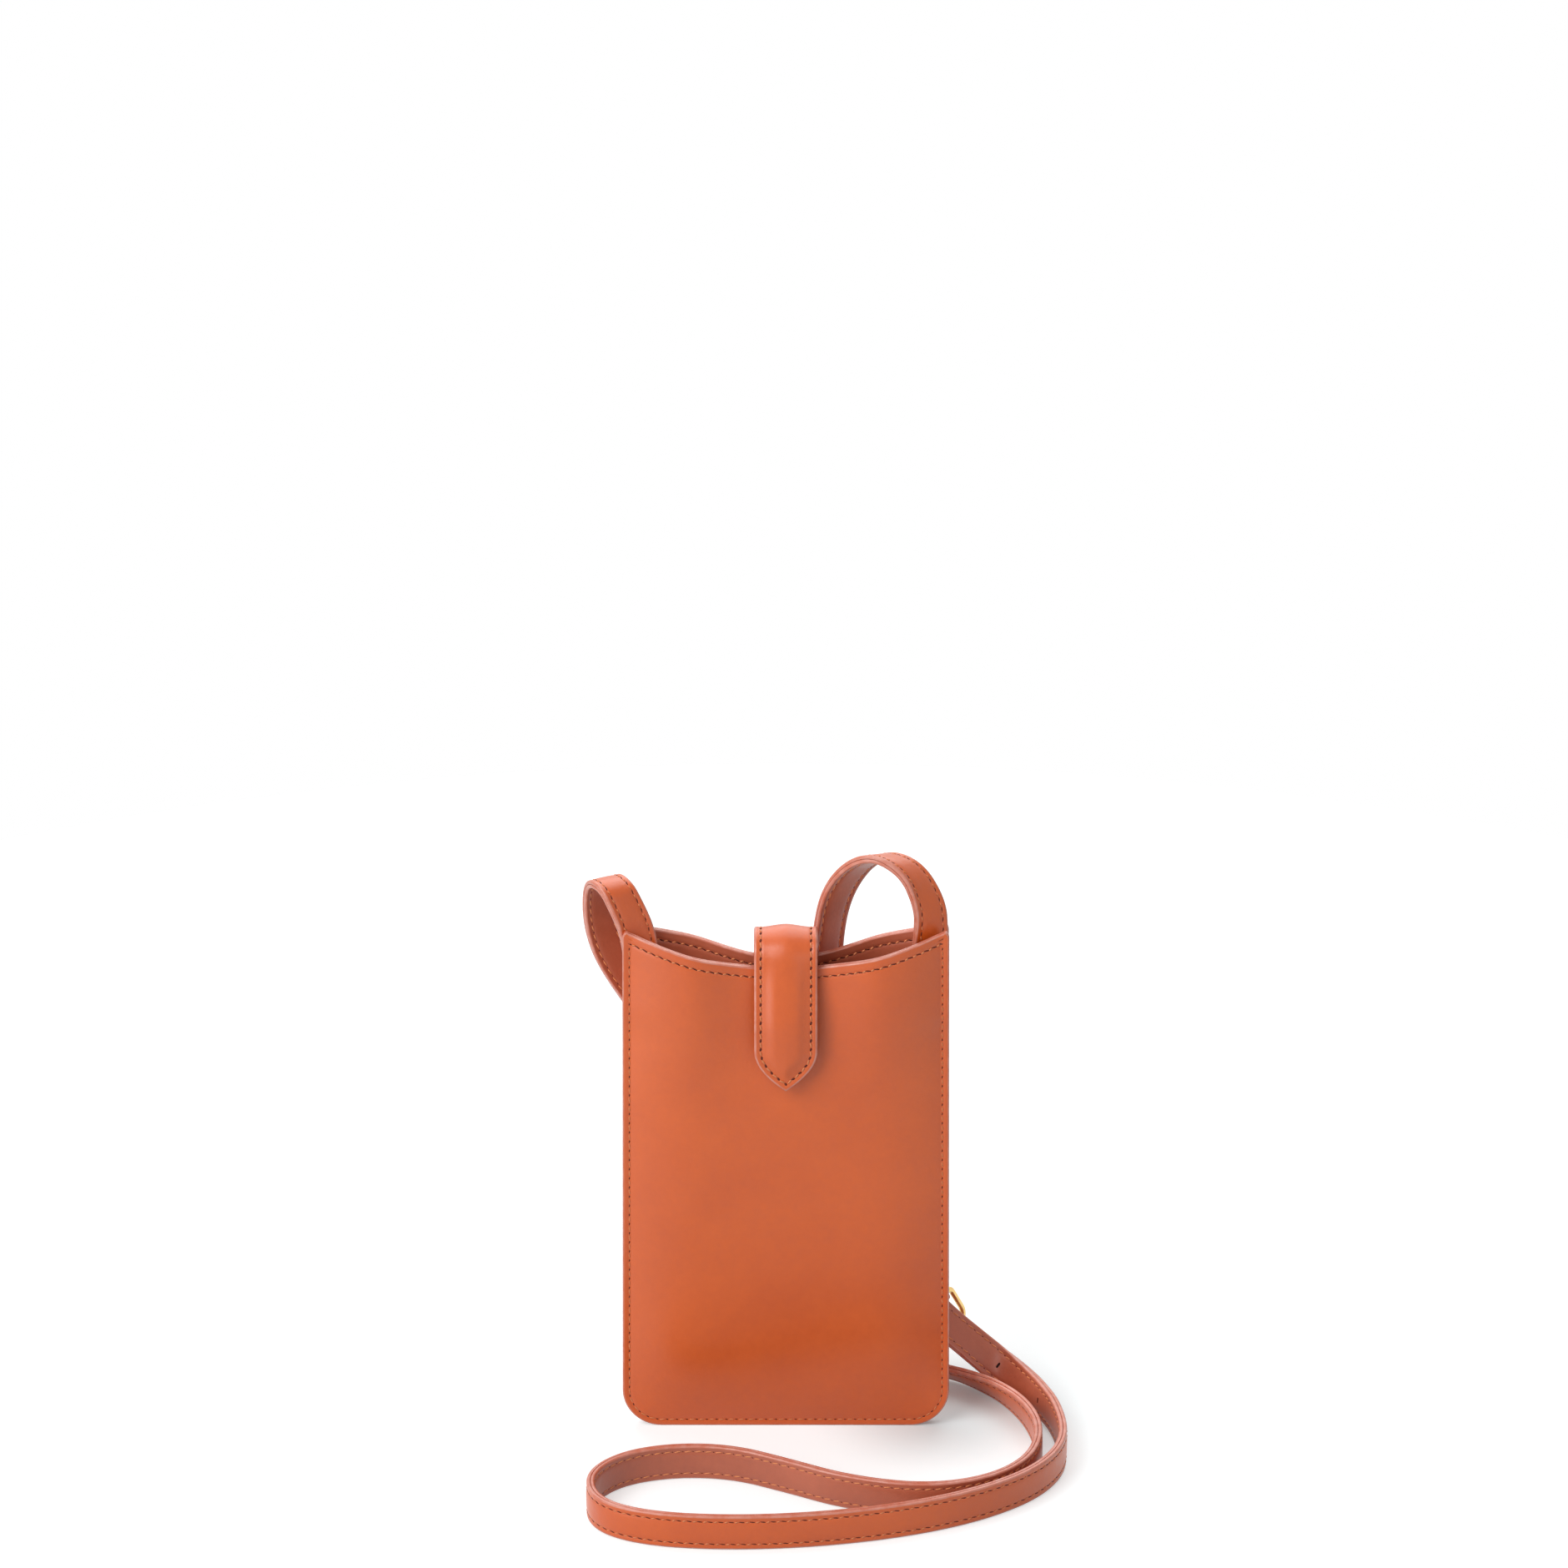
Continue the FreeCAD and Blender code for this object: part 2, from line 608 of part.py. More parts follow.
def build():
    """All pieces, by name."""
    pieces = {}

    # Pouch: panels outside, linings inside
    prism = panel_prism()
    panel_start = lining_thickness + glue_gap
    leg_slots = legs(waist_depth, snap_seat + 1, snap_fit)
    washer_seat = skin_depth(0, snap_height) - panel_thickness / 2 - snap_fit
    washer_start = washer_seat - washer_thickness
    washer_room = disc(washer_radius + snap_fit, 0, washer_seat + snap_fit)
    pieces["front_panel"] = sheet(-1, panel_start, panel_thickness, prism).cut([washer_room] + leg_slots)
    pieces["front_lining"] = sheet(-1, 0, lining_thickness, prism)
    pieces["back_panel"] = sheet(1, panel_start, panel_thickness, prism)
    pieces["back_lining"] = sheet(1, 0, lining_thickness, prism)

    # Magnetic snap on the front panel: base with legs, magnet, cap, and the washer inside
    base_top = snap_seat + snap_base_thickness
    cap_top = snap_seat + snap_rise
    base = disc(snap_radius - snap_cap_thickness - snap_fit, snap_seat, base_top)
    pieces["snap_base"] = base.multiFuse(legs(washer_start, base_top))
    magnet_start = base_top + snap_fit
    pieces["snap_magnet"] = disc(magnet_radius, magnet_start, magnet_start + magnet_thickness,
                                 snap_hole_radius + snap_fit)
    cap = disc(snap_radius, snap_seat, cap_top, snap_hole_radius)
    cap_room = disc(snap_radius - snap_cap_thickness, snap_seat, cap_top - snap_cap_thickness)
    pieces["snap_cap"] = cap.cut(cap_room)
    washer = disc(washer_radius, washer_start, washer_seat, snap_hole_radius)
    pieces["snap_base_washer"] = washer.cut(leg_slots)

    # Snap stud under the tab, with its own washer between the tab's lining and filler
    stud_face = cap_top + snap_air_gap
    stud_back = stud_face + stud_plate_thickness
    stud_washer_start = tab_front + tab_lining_thickness + snap_fit
    stud_washer_end = stud_washer_start + washer_thickness
    stud = disc(stud_plate_radius, stud_face, stud_back)
    post = disc(stud_post_radius, stud_face - stud_post_length, stud_back)
    pieces["snap_stud"] = stud.multiFuse([post] + legs(stud_face, stud_washer_end))
    stud_slots = legs(stud_face, stud_washer_end + 1, snap_fit)
    stud_washer = disc(washer_radius, stud_washer_start, stud_washer_end, stud_post_radius)
    pieces["snap_stud_washer"] = stud_washer.cut(stud_slots)

    # Tab: lining, filler and outer leather in front of the hinge, and its anchor behind
    filler_top = tab_lining_thickness + tab_filler_thickness
    filler_tip = tab_tip_height + filler_tip_inset
    filler_point = tab_point * filler_half_width / tab_half_width
    whole = (tab_half_width, tab_tip_height, tab_point)
    core = (filler_half_width, filler_tip, filler_point)
    cover = (filler_half_width + filler_cover, filler_tip - filler_cover, filler_point)
    tab_lining = tab_layer(0, tab_lining_thickness, *whole, True)
    pieces["tab_lining"] = tab_lining.cut(stud_slots)
    filler = tab_layer(tab_lining_thickness, filler_top, *core, True)
    pieces["tab_filler"] = filler.cut(disc(washer_radius + snap_fit, 0, stud_washer_end + snap_fit))
    flat = tab_layer(tab_lining_thickness, tab_lining_thickness + tab_outer_thickness, *whole, True)
    raised = tab_layer(tab_lining_thickness, tab_thickness, *cover, True)
    pieces["tab_outer"] = flat.fuse(raised).cut(filler)
    anchor = (tab_half_width, anchor_tip_height, tab_point)
    pieces["tab_anchor_lining"] = tab_layer(0, tab_lining_thickness, *anchor, False)
    pieces["tab_anchor_outer"] = tab_layer(tab_lining_thickness, anchor_thickness, *anchor, False)

    # Straps: the long one carries the adjusting holes, the short one the buckle
    inner_layer = (-half_strap, -strap_glue_gap / 2)
    outer_layer = (strap_glue_gap / 2, half_strap)
    line, turn = strap_line(right_route, right_route_tail, tail_middle, across * -1)
    frames = strap_frames(line, turn)
    long_outer = strap_layer_solid(frames, *outer_layer)
    long_lining = strap_layer_solid(frames, *inner_layer)
    report_strap("long strap", line, [long_outer, long_lining])
    cuts = round_holes(line, turn) + [placed(prong_hole()), placed(tail_tip())]
    pieces["long_strap_outer"] = long_outer.cut(cuts)
    pieces["long_strap_lining"] = long_lining.cut(cuts)
    line, turn = strap_line(left_route, left_route_tail, buckle_origin, across)
    frames = strap_frames(line, turn)
    short_outer = strap_layer_solid(frames, *outer_layer)
    short_lining = strap_layer_solid(frames, *inner_layer)
    report_strap("buckle strap", line, [short_outer, short_lining])
    pieces["buckle_strap_outer"] = short_outer.fuse(placed(fold()))
    pieces["buckle_strap_lining"] = short_lining

    # Buckle and keepers
    pieces["buckle_frame"] = placed(buckle_frame())
    pieces["buckle_prong"] = placed(buckle_prong())
    turnback_face = -half_strap - strap_glue_gap - strap_layer
    pieces["fixed_keeper"] = placed(keeper(fixed_keeper_place, turnback_face, strap_top))
    pieces["sliding_keeper"] = placed(keeper(sliding_keeper_place, -half_strap, strap_top))
    return pieces


os.makedirs("parts", exist_ok=True)
for name, shape in build().items():
    shape.translate(Vector(0, centre_shift, 0))
    shape.exportStep(f"parts/{name}.step")
    box = shape.optimalBoundingBox()
    print(f"{name}: {len(shape.Solids)} solid, valid {shape.isValid()}, volume {shape.Volume:.1f}, "
          f"y {box.YMin:.2f} to {box.YMax:.2f}, z {box.ZMin:.2f} to {box.ZMax:.2f}")
hinge = Vector(0, hinge_setback + centre_shift,
               arch_height + math.sqrt((arch_radius + tab_thickness) ** 2 - hinge_setback ** 2))
print("tab hinge", hinge, "bar", bar_middle + Vector(0, centre_shift, 0))
print("along", along, "across", across, "facing", facing, "shift", centre_shift, "tab front", tab_front)
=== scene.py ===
"""Phone pouch in smooth tan leather, dressed over its CAD frame.

Pieces are drawn in millimetres with the side seam in the plane y = 0, as they are in the part's
source, and put into the row frame in metres when their meshes are made.
"""

import logging
import math
from dataclasses import dataclass, field
from enum import Enum, IntEnum
from typing import Callable, Iterable, Sequence

import bmesh
import bpy
from mathutils import Matrix, Vector, noise


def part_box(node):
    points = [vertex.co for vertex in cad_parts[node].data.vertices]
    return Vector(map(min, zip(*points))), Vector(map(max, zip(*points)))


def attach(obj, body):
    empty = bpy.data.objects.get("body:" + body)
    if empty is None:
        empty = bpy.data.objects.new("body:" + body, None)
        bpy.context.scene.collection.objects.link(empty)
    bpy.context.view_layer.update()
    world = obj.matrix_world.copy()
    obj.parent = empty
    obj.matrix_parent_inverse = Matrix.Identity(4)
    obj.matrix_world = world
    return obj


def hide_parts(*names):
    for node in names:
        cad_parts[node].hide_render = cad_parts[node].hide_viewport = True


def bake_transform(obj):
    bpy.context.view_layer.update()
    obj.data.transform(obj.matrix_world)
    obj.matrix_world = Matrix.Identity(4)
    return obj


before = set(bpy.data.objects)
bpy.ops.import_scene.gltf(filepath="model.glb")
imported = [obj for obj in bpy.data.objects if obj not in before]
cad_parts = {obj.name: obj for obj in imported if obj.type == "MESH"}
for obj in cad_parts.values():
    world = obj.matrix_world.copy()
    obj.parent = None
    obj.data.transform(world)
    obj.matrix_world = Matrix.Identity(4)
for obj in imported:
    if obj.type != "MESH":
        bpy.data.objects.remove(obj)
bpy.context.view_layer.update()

LOG = logging.getLogger("phone_pouch")
MM = 0.001
WELD_MM = 0.001
SEAM_Y = (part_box("front_panel")[0].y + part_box("back_panel")[1].y) / 2

Point = tuple[float, float, float]
Piece = bpy.types.Object
Tree = bpy.types.NodeTree
Node = bpy.types.Node
Socket = bpy.types.NodeSocket


def to_row(point: Vector) -> Vector:
    """Turns a point in millimetres about the seam plane into metres in the row frame.

    Args:
        point: place in millimetres, with the seam in y = 0.

    Returns:
        The place in metres in the row frame.
    """
    return Vector((point.x * MM, point.y * MM + SEAM_Y, point.z * MM))


def smooth(t: float) -> float:
    """Soft step from 0 to 1."""
    t = min(max(t, 0.0), 1.0)
    return t * t * (3 - 2 * t)


def swell(t: float) -> float:
    """Rise from 0 to 1 that is steepest at its start, as stuffed leather rises from a seam."""
    t = min(max(t, 0.0), 1.0)
    return t * (2 - t)


def ripple(distance: float, width: float) -> float:
    """Bell curve that is 1 at no distance and dies away over the width."""
    return math.exp(-(distance / width) ** 2)


def srgb(code: str) -> tuple[float, float, float, float]:
    """Turns an sRGB hex colour into linear RGBA.

    Args:
        code: colour such as "#C8623A".

    Returns:
        Linear red, green, blue and an alpha of 1.
    """
    parts = [int(code[i:i + 2], 16) / 255 for i in (1, 3, 5)]
    linear = [v / 12.92 if v <= 0.04045 else ((v + 0.055) / 1.055) ** 2.4 for v in parts]
    return (linear[0], linear[1], linear[2], 1.0)


def feed(tree: Tree, node: Node, inputs: dict) -> None:
    """Sets a node's inputs.

    Args:
        tree: node tree that holds the node.
        node: the node.
        inputs: socket name or number to a value, or to the output socket that feeds it.
    """
    for key, value in inputs.items():
        if isinstance(value, Socket):
            tree.links.new(value, node.inputs[key])
        else:
            node.inputs[key].default_value = value


def add_node(tree: Tree, kind: str, inputs: dict, **settings: object) -> Node:
    """Adds a node with its settings and links.

    Args:
        tree: node tree that takes the node.
        kind: the node's type name.
        inputs: what its sockets get, as for feed.
        settings: the node's own properties.

    Returns:
        The new node.
    """
    node = tree.nodes.new(kind)
    for key, value in settings.items():
        setattr(node, key, value)
    feed(tree, node, inputs)
    return node


class Slot(Enum):
    """The record's material slots for leather pieces; nothing in this script gives a piece one."""

    OUTER = "outer_leather"
    LINING = "lining_leather"


@dataclass(frozen=True)
class Finish:
    """A finish with one shader; kinds of finish add their own pattern to it."""

    name: str
    colour: str
    roughness: float

    def material(self) -> bpy.types.Material:
        """Makes the material, or finds the one already made.

        Returns:
            The material.
        """
        found = bpy.data.materials.get(self.name)
        if found:
            return found
        made = bpy.data.materials.new(self.name)
        made.use_nodes = True
        tree = made.node_tree
        shader = tree.nodes["Principled BSDF"]
        feed(tree, shader, {"Base Color": srgb(self.colour), "Roughness": self.roughness})
        place = add_node(tree, "ShaderNodeTexCoord", {}).outputs["Object"]
        self.dress(tree, shader, place)
        return made

    def dress(self, tree: Tree, shader: Node, place: Socket) -> None:
        """Adds the finish's own pattern to its shader.

        Args:
            tree: the material's nodes.
            shader: its shader.
            place: socket with places on the object, in metres.
        """

    def scale(self, size_mm: float) -> float:
        """Texture scale that gives a pattern of a real size, in object coordinates of metres."""
        return 1.0 / (size_mm * MM)


@dataclass(frozen=True)
class Leather(Finish):
    """Drum-dyed calf, plated smooth: even colour that clouds softly, with fine pores under a glaze.

    The pores of such calf are about 0.3 mm apart, too fine to show, and are drawn coarser.
    """

    deep: str = "#B4552F"
    cloud_mm: float = 34.0
    fleck_mm: float = 2.6
    pore_mm: float = 0.95
    pore_depth_mm: float = 0.07
    crease_mm: float = 7.0
    crease_depth_mm: float = 0.14
    glaze: float = 0.38
    glaze_roughness: float = 0.31
    haze: float = 0.05
    haze_roughness: float = 0.35
    fleck_share: float = 0.28
    tone_range: tuple[float, float] = (0.36, 0.66)
    polish_range: tuple[float, float] = (-0.05, 0.06)

    def dress(self, tree: Tree, shader: Node, place: Socket) -> None:
        """Adds clouding, flecks, pores and a few soft creases.

        Args:
            tree: the material's nodes.
            shader: its shader.
            place: socket with places on the object, in metres.
        """
        cloud = add_node(tree, "ShaderNodeTexNoise",
                         {"Vector": place, "Scale": self.scale(self.cloud_mm),
                          "Detail": 2.5, "Roughness": 0.55})
        fleck = add_node(tree, "ShaderNodeTexNoise",
                         {"Vector": place, "Scale": self.scale(self.fleck_mm),
                          "Detail": 3.0, "Roughness": 0.6})
        amount = add_node(tree, "ShaderNodeMix",
                          {"Factor": self.fleck_share,
                           "A": cloud.outputs["Fac"], "B": fleck.outputs["Fac"]})
        ramp = add_node(tree, "ShaderNodeMapRange",
                        {"Value": amount.outputs["Result"],
                         "From Min": self.tone_range[0], "From Max": self.tone_range[1]})
        colour = add_node(tree, "ShaderNodeMix",
                          {"Factor": ramp.outputs["Result"], "A": srgb(self.deep), "B": srgb(self.colour)},
                          data_type="RGBA")
        pores = add_node(tree, "ShaderNodeTexVoronoi",
                         {"Vector": place, "Scale": self.scale(self.pore_mm), "Randomness": 1.0},
                         feature="SMOOTH_F1")
        creases = add_node(tree, "ShaderNodeTexNoise",
                           {"Vector": place, "Scale": self.scale(self.crease_mm), "Detail": 4.0,
                            "Roughness": 0.6, "Distortion": 0.4})
        bump = add_node(tree, "ShaderNodeBump",
                        {"Height": pores.outputs["Distance"], "Strength": 0.5,
                         "Distance": self.pore_depth_mm * MM})
        bump = add_node(tree, "ShaderNodeBump",
                        {"Height": creases.outputs["Fac"], "Strength": 0.6,
                         "Distance": self.crease_depth_mm * MM, "Normal": bump.outputs["Normal"]})
        dull = add_node(tree, "ShaderNodeMapRange",
                        {"Value": fleck.outputs["Fac"], "From Min": 0.3, "From Max": 0.7,
                         "To Min": self.roughness + self.polish_range[0],
                         "To Max": self.roughness + self.polish_range[1]})
        feed(tree, shader, {"Base Color": colour.outputs[2], "Normal": bump.outputs["Normal"],
                            "Roughness": dull.outputs["Result"],
                            "Coat Weight": self.glaze, "Coat Roughness": self.glaze_roughness,
                            "Sheen Weight": self.haze, "Sheen Roughness": self.haze_roughness})


@dataclass(frozen=True)
class EdgePaint(Finish):
    """Acrylic edge paint, brushed on and burnished: satin, a little wavy along the edge."""

    # Colour of the paler patches: painted highlight for the edge's gloss.
    painted_gloss: str = "#D28A78"
    streak_mm: float = 3.2
    wave_depth_mm: float = 0.05

    def dress(self, tree: Tree, shader: Node, place: Socket) -> None:
        """Adds paler patches of painted highlight and a brushed wave.

        Args:
            tree: the material's nodes.
            shader: its shader.
            place: socket with places on the object, in metres.
        """
        streak = add_node(tree, "ShaderNodeTexNoise",
                          {"Vector": place, "Scale": self.scale(self.streak_mm), "Detail": 2.0})
        ramp = add_node(tree, "ShaderNodeMapRange",
                        {"Value": streak.outputs["Fac"], "From Min": 0.35, "From Max": 0.7})
        colour = add_node(tree, "ShaderNodeMix",
                          {"Factor": ramp.outputs["Result"], "A": srgb(self.colour), "B": srgb(self.painted_gloss)},
                          data_type="RGBA")
        bump = add_node(tree, "ShaderNodeBump",
                        {"Height": streak.outputs["Fac"], "Strength": 0.5,
                         "Distance": self.wave_depth_mm * MM})
        feed(tree, shader, {"Base Color": colour.outputs[2], "Normal": bump.outputs["Normal"]})


@dataclass(frozen=True)
class Thread(Finish):
    """Bonded polyester thread, twisted: a faint lustre broken by its plies."""

    shade: str = "#B4633A"
    ply_mm: float = 0.5

    def dress(self, tree: Tree, shader: Node, place: Socket) -> None:
        """Adds the light and shade of the plies, drawn as coarse as they need to show.

        Args:
            tree: the material's nodes.
            shader: its shader.
            place: socket with places on the object, in metres.
        """
        ply = add_node(tree, "ShaderNodeTexNoise",
                       {"Vector": place, "Scale": self.scale(self.ply_mm), "Detail": 1.0})
        colour = add_node(tree, "ShaderNodeMix",
                          {"Factor": ply.outputs["Fac"], "A": srgb(self.shade), "B": srgb(self.colour)},
                          data_type="RGBA")
        feed(tree, shader, {"Base Color": colour.outputs[2]})


@dataclass(frozen=True)
class Metal(Finish):
    """Polished or tumbled metal: fine scratches spread its highlights a little."""

    tarnish: str = "#8A8076"
    scratch_mm: float = 0.8
    metallic: float = 1.0
    polish_range: tuple[float, float] = (-0.04, 0.06)

    def dress(self, tree: Tree, shader: Node, place: Socket) -> None:
        """Adds faint tarnish and uneven polish.

        Args:
            tree: the material's nodes.
            shader: its shader.
            place: socket with places on the object, in metres.
        """
        scratch = add_node(tree, "ShaderNodeTexNoise",
                           {"Vector": place, "Scale": self.scale(self.scratch_mm), "Detail": 3.0})
        ramp = add_node(tree, "ShaderNodeMapRange",
                        {"Value": scratch.outputs["Fac"],
                         "From Min": 0.55, "From Max": 0.85, "To Max": 0.25})
        colour = add_node(tree, "ShaderNodeMix",
                          {"Factor": ramp.outputs["Result"],
                           "A": srgb(self.colour), "B": srgb(self.tarnish)},
                          data_type="RGBA")
        dull = add_node(tree, "ShaderNodeMapRange",
                        {"Value": scratch.outputs["Fac"], "From Min": 0.3, "From Max": 0.7,
                         "To Min": self.roughness + self.polish_range[0],
                         "To Max": self.roughness + self.polish_range[1]})
        feed(tree, shader, {"Base Color": colour.outputs[2], "Roughness": dull.outputs["Result"],
                            "Metallic": self.metallic})


# Outer leather: an even warm tan with a soft shine.
CALF = Leather("calf_leather_dyed_tan_plated", "#D35B17", 0.42, deep="#C85314")
# Linings: duller, and pinker as painted sheen, the pale reflection on their shaded faces, so that the
# inside of the mouth reads apart.
LINING_CALF = Leather("calf_lining_tan_matt_painted_sheen", "#C2684A", 0.46, deep="#B25C40", glaze=0.35)
# Cut edges: a rosy line that rounds over and catches the light, made paler in part as painted highlight for
# the gloss on the edge.
PAINTED_EDGE = EdgePaint("edge_paint_acrylic_burnished", "#CA7259", 0.24)
# Stitches on the outer leather: a little paler than it is.
SEAM_THREAD = Thread("polyester_thread_bonded_tan", "#E08A58", 0.5)
# Stitches on the linings: paler still, so that they show in the shade.
LINING_THREAD = Thread("polyester_thread_bonded_pale", "#EE9A66", 0.5, shade="#D07E4C")
# Painted shadow for needle holes and the walls of punched ones: dark and without shine, the shade that
# falls in them.
HOLE_SHADOW = Thread("needle_hole_shadow", "#6E2A14", 0.9, shade="#52190B")
# Buckle: warm yellow with sharp highlights.
BRASS = Metal("brass_cast_polished", "#EBC683", 0.17, tarnish="#A87B3E")
# Snap: bright grey with softer highlights.
NICKEL = Metal("steel_nickel_plated", "#CFCBC4", 0.22)
# Magnet in the snap: dull and nearly black.
FERRITE = Metal("ferrite_magnet_pressed", "#46464A", 0.5, tarnish="#2C2C30", metallic=0.3)


class Skin(IntEnum):
    """What a face of a leather piece is, as the number of its finish in LEATHER_SET."""

    FACE = 0
    EDGE = 1
    THREAD = 2
    # Painted shadow: the dark lenses of needle holes and the walls of punched holes.
    HOLE_SHADE = 3
    LINING = 4
    LINING_THREAD = 5


LEATHER_SET = (CALF, PAINTED_EDGE, SEAM_THREAD, HOLE_SHADOW, LINING_CALF, LINING_THREAD)


@dataclass
class Draft:
    """Points and faces of one mesh while it is made, in millimetres about the seam plane."""

    points: list[Vector] = field(default_factory=list)
    faces: list[tuple[int, ...]] = field(default_factory=list)
    finishes: list[Skin] = field(default_factory=list)

    def add(self, points: Iterable[Vector], faces: Iterable[Sequence[int]], finish: Skin) -> None:
        """Adds points and faces that count from the first of these points.

        Args:
            points: the new points.
            faces: the new faces.
            finish: finish that the faces get.
        """
        start = len(self.points)
        self.points.extend(points)
        for face in faces:
            self.faces.append(tuple(start + i for i in face))
            self.finishes.append(finish)

    def bridge(self, rings: Sequence[Sequence[Vector]], finish: Callable[[int, int], Skin],
               looped: bool = False) -> None:
        """Joins closed rings of as many points each, one after the other.

        Args:
            rings: the rings, in order.
            finish: gives a face's finish from the number of its ring and of its point in the ring.
            looped: whether the last ring is joined to the first.
        """
        start = len(self.points)
        count = len(rings[0])
        for ring in rings:
            self.points.extend(ring)
        for i in range(len(rings) if looped else len(rings) - 1):
            a = start + i * count
            b = start + (i + 1) % len(rings) * count
            for j in range(count):
                k = (j + 1) % count
                self.faces.append((a + j, a + k, b + k, b + j))
                self.finishes.append(finish(i, j))

    def face(self, corners: Iterable[int], finish: Skin) -> None:
        """Adds one face between points that are there."""
        self.faces.append(tuple(corners))
        self.finishes.append(finish)

    def make(self, name: str) -> Piece:
        """Makes the object in the row frame.

        Args:
            name: the piece's name.

        Returns:
            The new object, linked to the scene.
        """
        mesh = bpy.data.meshes.new(name)
        mesh.from_pydata([to_row(p) for p in self.points], [], self.faces)
        for finish in LEATHER_SET:
            mesh.materials.append(finish.material())
        mesh.polygons.foreach_set("material_index", self.finishes)
        shape = bmesh.new()
        shape.from_mesh(mesh)
        bmesh.ops.remove_doubles(shape, verts=shape.verts, dist=WELD_MM * MM)
        bmesh.ops.dissolve_degenerate(shape, edges=shape.edges, dist=WELD_MM / 2 * MM)
        bmesh.ops.recalc_face_normals(shape, faces=shape.faces)
        for face in shape.faces:
            face.smooth = True
        shape.to_mesh(mesh)
        shape.free()
        piece = bpy.data.objects.new(name, mesh)
        bpy.context.scene.collection.objects.link(piece)
        return piece


@dataclass(frozen=True)
class StitchKind:
    """How a row of machine stitches looks from one side of the work, in millimetres and degrees."""

    pitch: float
    thread: Skin
    thread_length: float
    thread_width: float
    thread_rise: float
    thread_slant: float
    hole_length: float
    hole_width: float
    hole_slant: float
    hole_rise: float = 0.05


def lozenge(centre: Vector, long: Vector, wide: Vector, up: Vector) -> list[list[Vector]]:
    """A closed rounded bar with tapered ends.

    Args:
        centre: middle of the bar.
        long: half its length, as a vector.
        wide: half its width, as a vector.
        up: half its height, as a vector.

    Returns:
        Its rings of points, from end to end.
    """
    sides = 6
    turns = [math.tau * (i + 0.5) / sides for i in range(sides)]
    stations = ((-1.0, 0.0), (-0.86, 0.62), (-0.45, 1.0), (0.45, 1.0), (0.86, 0.62), (1.0, 0.0))
    return [[centre + long * along + (wide * math.cos(a) + up * math.sin(a)) * share for a in turns]
            for along, share in stations]


def lens(centre: Vector, long: Vector, wide: Vector, up: Vector) -> tuple[list[Vector], list[tuple]]:
    """A closed flat lens of painted shadow, drawn dark where the shade in a needle hole shows.

    Args:
        centre: middle of the lens.
        long: half its length, as a vector.
        wide: half its width, as a vector.
        up: half its height, as a vector.

    Returns:
        Its points and faces.
    """
    sides = 8
    rim = [centre + long * math.cos(math.tau * i / sides) + wide * math.sin(math.tau * i / sides)
           for i in range(sides)]
    points = rim + [centre + up, centre - up]
    faces = []
    for i in range(sides):
        k = (i + 1) % sides
        faces.append((i, k, sides))
        faces.append((k, i, sides + 1))
    return points, faces


def walk(points: Sequence[Vector], distances: Sequence[float]) -> list[tuple[Vector, int, float]]:
    """Places at distances along a line of points.

    Args:
        points: the line.
        distances: rising distances from its start.

    Returns:
        For each distance its place, the number of the point before it and the share to the next.
    """
    found = []
    i = 0
    run = 0.0
    for distance in distances:
        step = (points[i + 1] - points[i]).length
        while run + step < distance and i < len(points) - 2:
            run += step
            i += 1
            step = (points[i + 1] - points[i]).length
        share = min(max((distance - run) / max(step, 1e-9), 0.0), 1.0)
        found.append((points[i].lerp(points[i + 1], share), i, share))
    return found


def line_length(points: Sequence[Vector]) -> float:
    """Length of a line of points."""
    return sum((b - a).length for a, b in zip(points, points[1:]))


def sew(draft: Draft, points: Sequence[Vector], normals: Sequence[Vector], kind: StitchKind) -> int:
    """Sews a row of stitches along a line that lies on a surface.

    Args:
        draft: mesh that takes the stitches.
        points: the line, on the surface.
        normals: the surface's outward normals at those points.
        kind: how the row looks.

    Returns:
        The number of stitches.
    """
    length = line_length(points)
    count = max(int(round(length / kind.pitch)), 1)
    pitch = length / count
    middles = walk(points, [(i + 0.5) * pitch for i in range(count)])
    ends = walk(points, [i * pitch for i in range(count + 1)])

    def axes(found: tuple[Vector, int, float], slant: float) -> tuple[Vector, Vector, Vector]:
        """Directions of a stitch or hole at a place on the line.

        Args:
            found: the place, as walk gives it.
            slant: turn in degrees from the line.

        Returns:
            Its heading, its width direction and the surface's normal.
        """
        _, i, share = found
        up = normals[i].lerp(normals[i + 1], share).normalized()
        heading = points[i + 1] - points[i]
        heading = (heading - up * heading.dot(up)).normalized()
        heading = Matrix.Rotation(math.radians(slant), 3, up) @ heading
        return heading, up.cross(heading), up

    for found in middles:
        long, wide, up = axes(found, kind.thread_slant)
        draft.bridge(lozenge(found[0], long * kind.thread_length / 2, wide * kind.thread_width / 2,
                             up * kind.thread_rise), lambda i, j: kind.thread)
    # Each needle hole gets a dark lens of painted shadow.
    for found in ends:
        long, wide, up = axes(found, kind.hole_slant)
        draft.add(*lens(found[0] + up * kind.hole_rise / 2, long * kind.hole_length / 2,
                        wide * kind.hole_width / 2, up * kind.hole_rise), Skin.HOLE_SHADE)
    return count


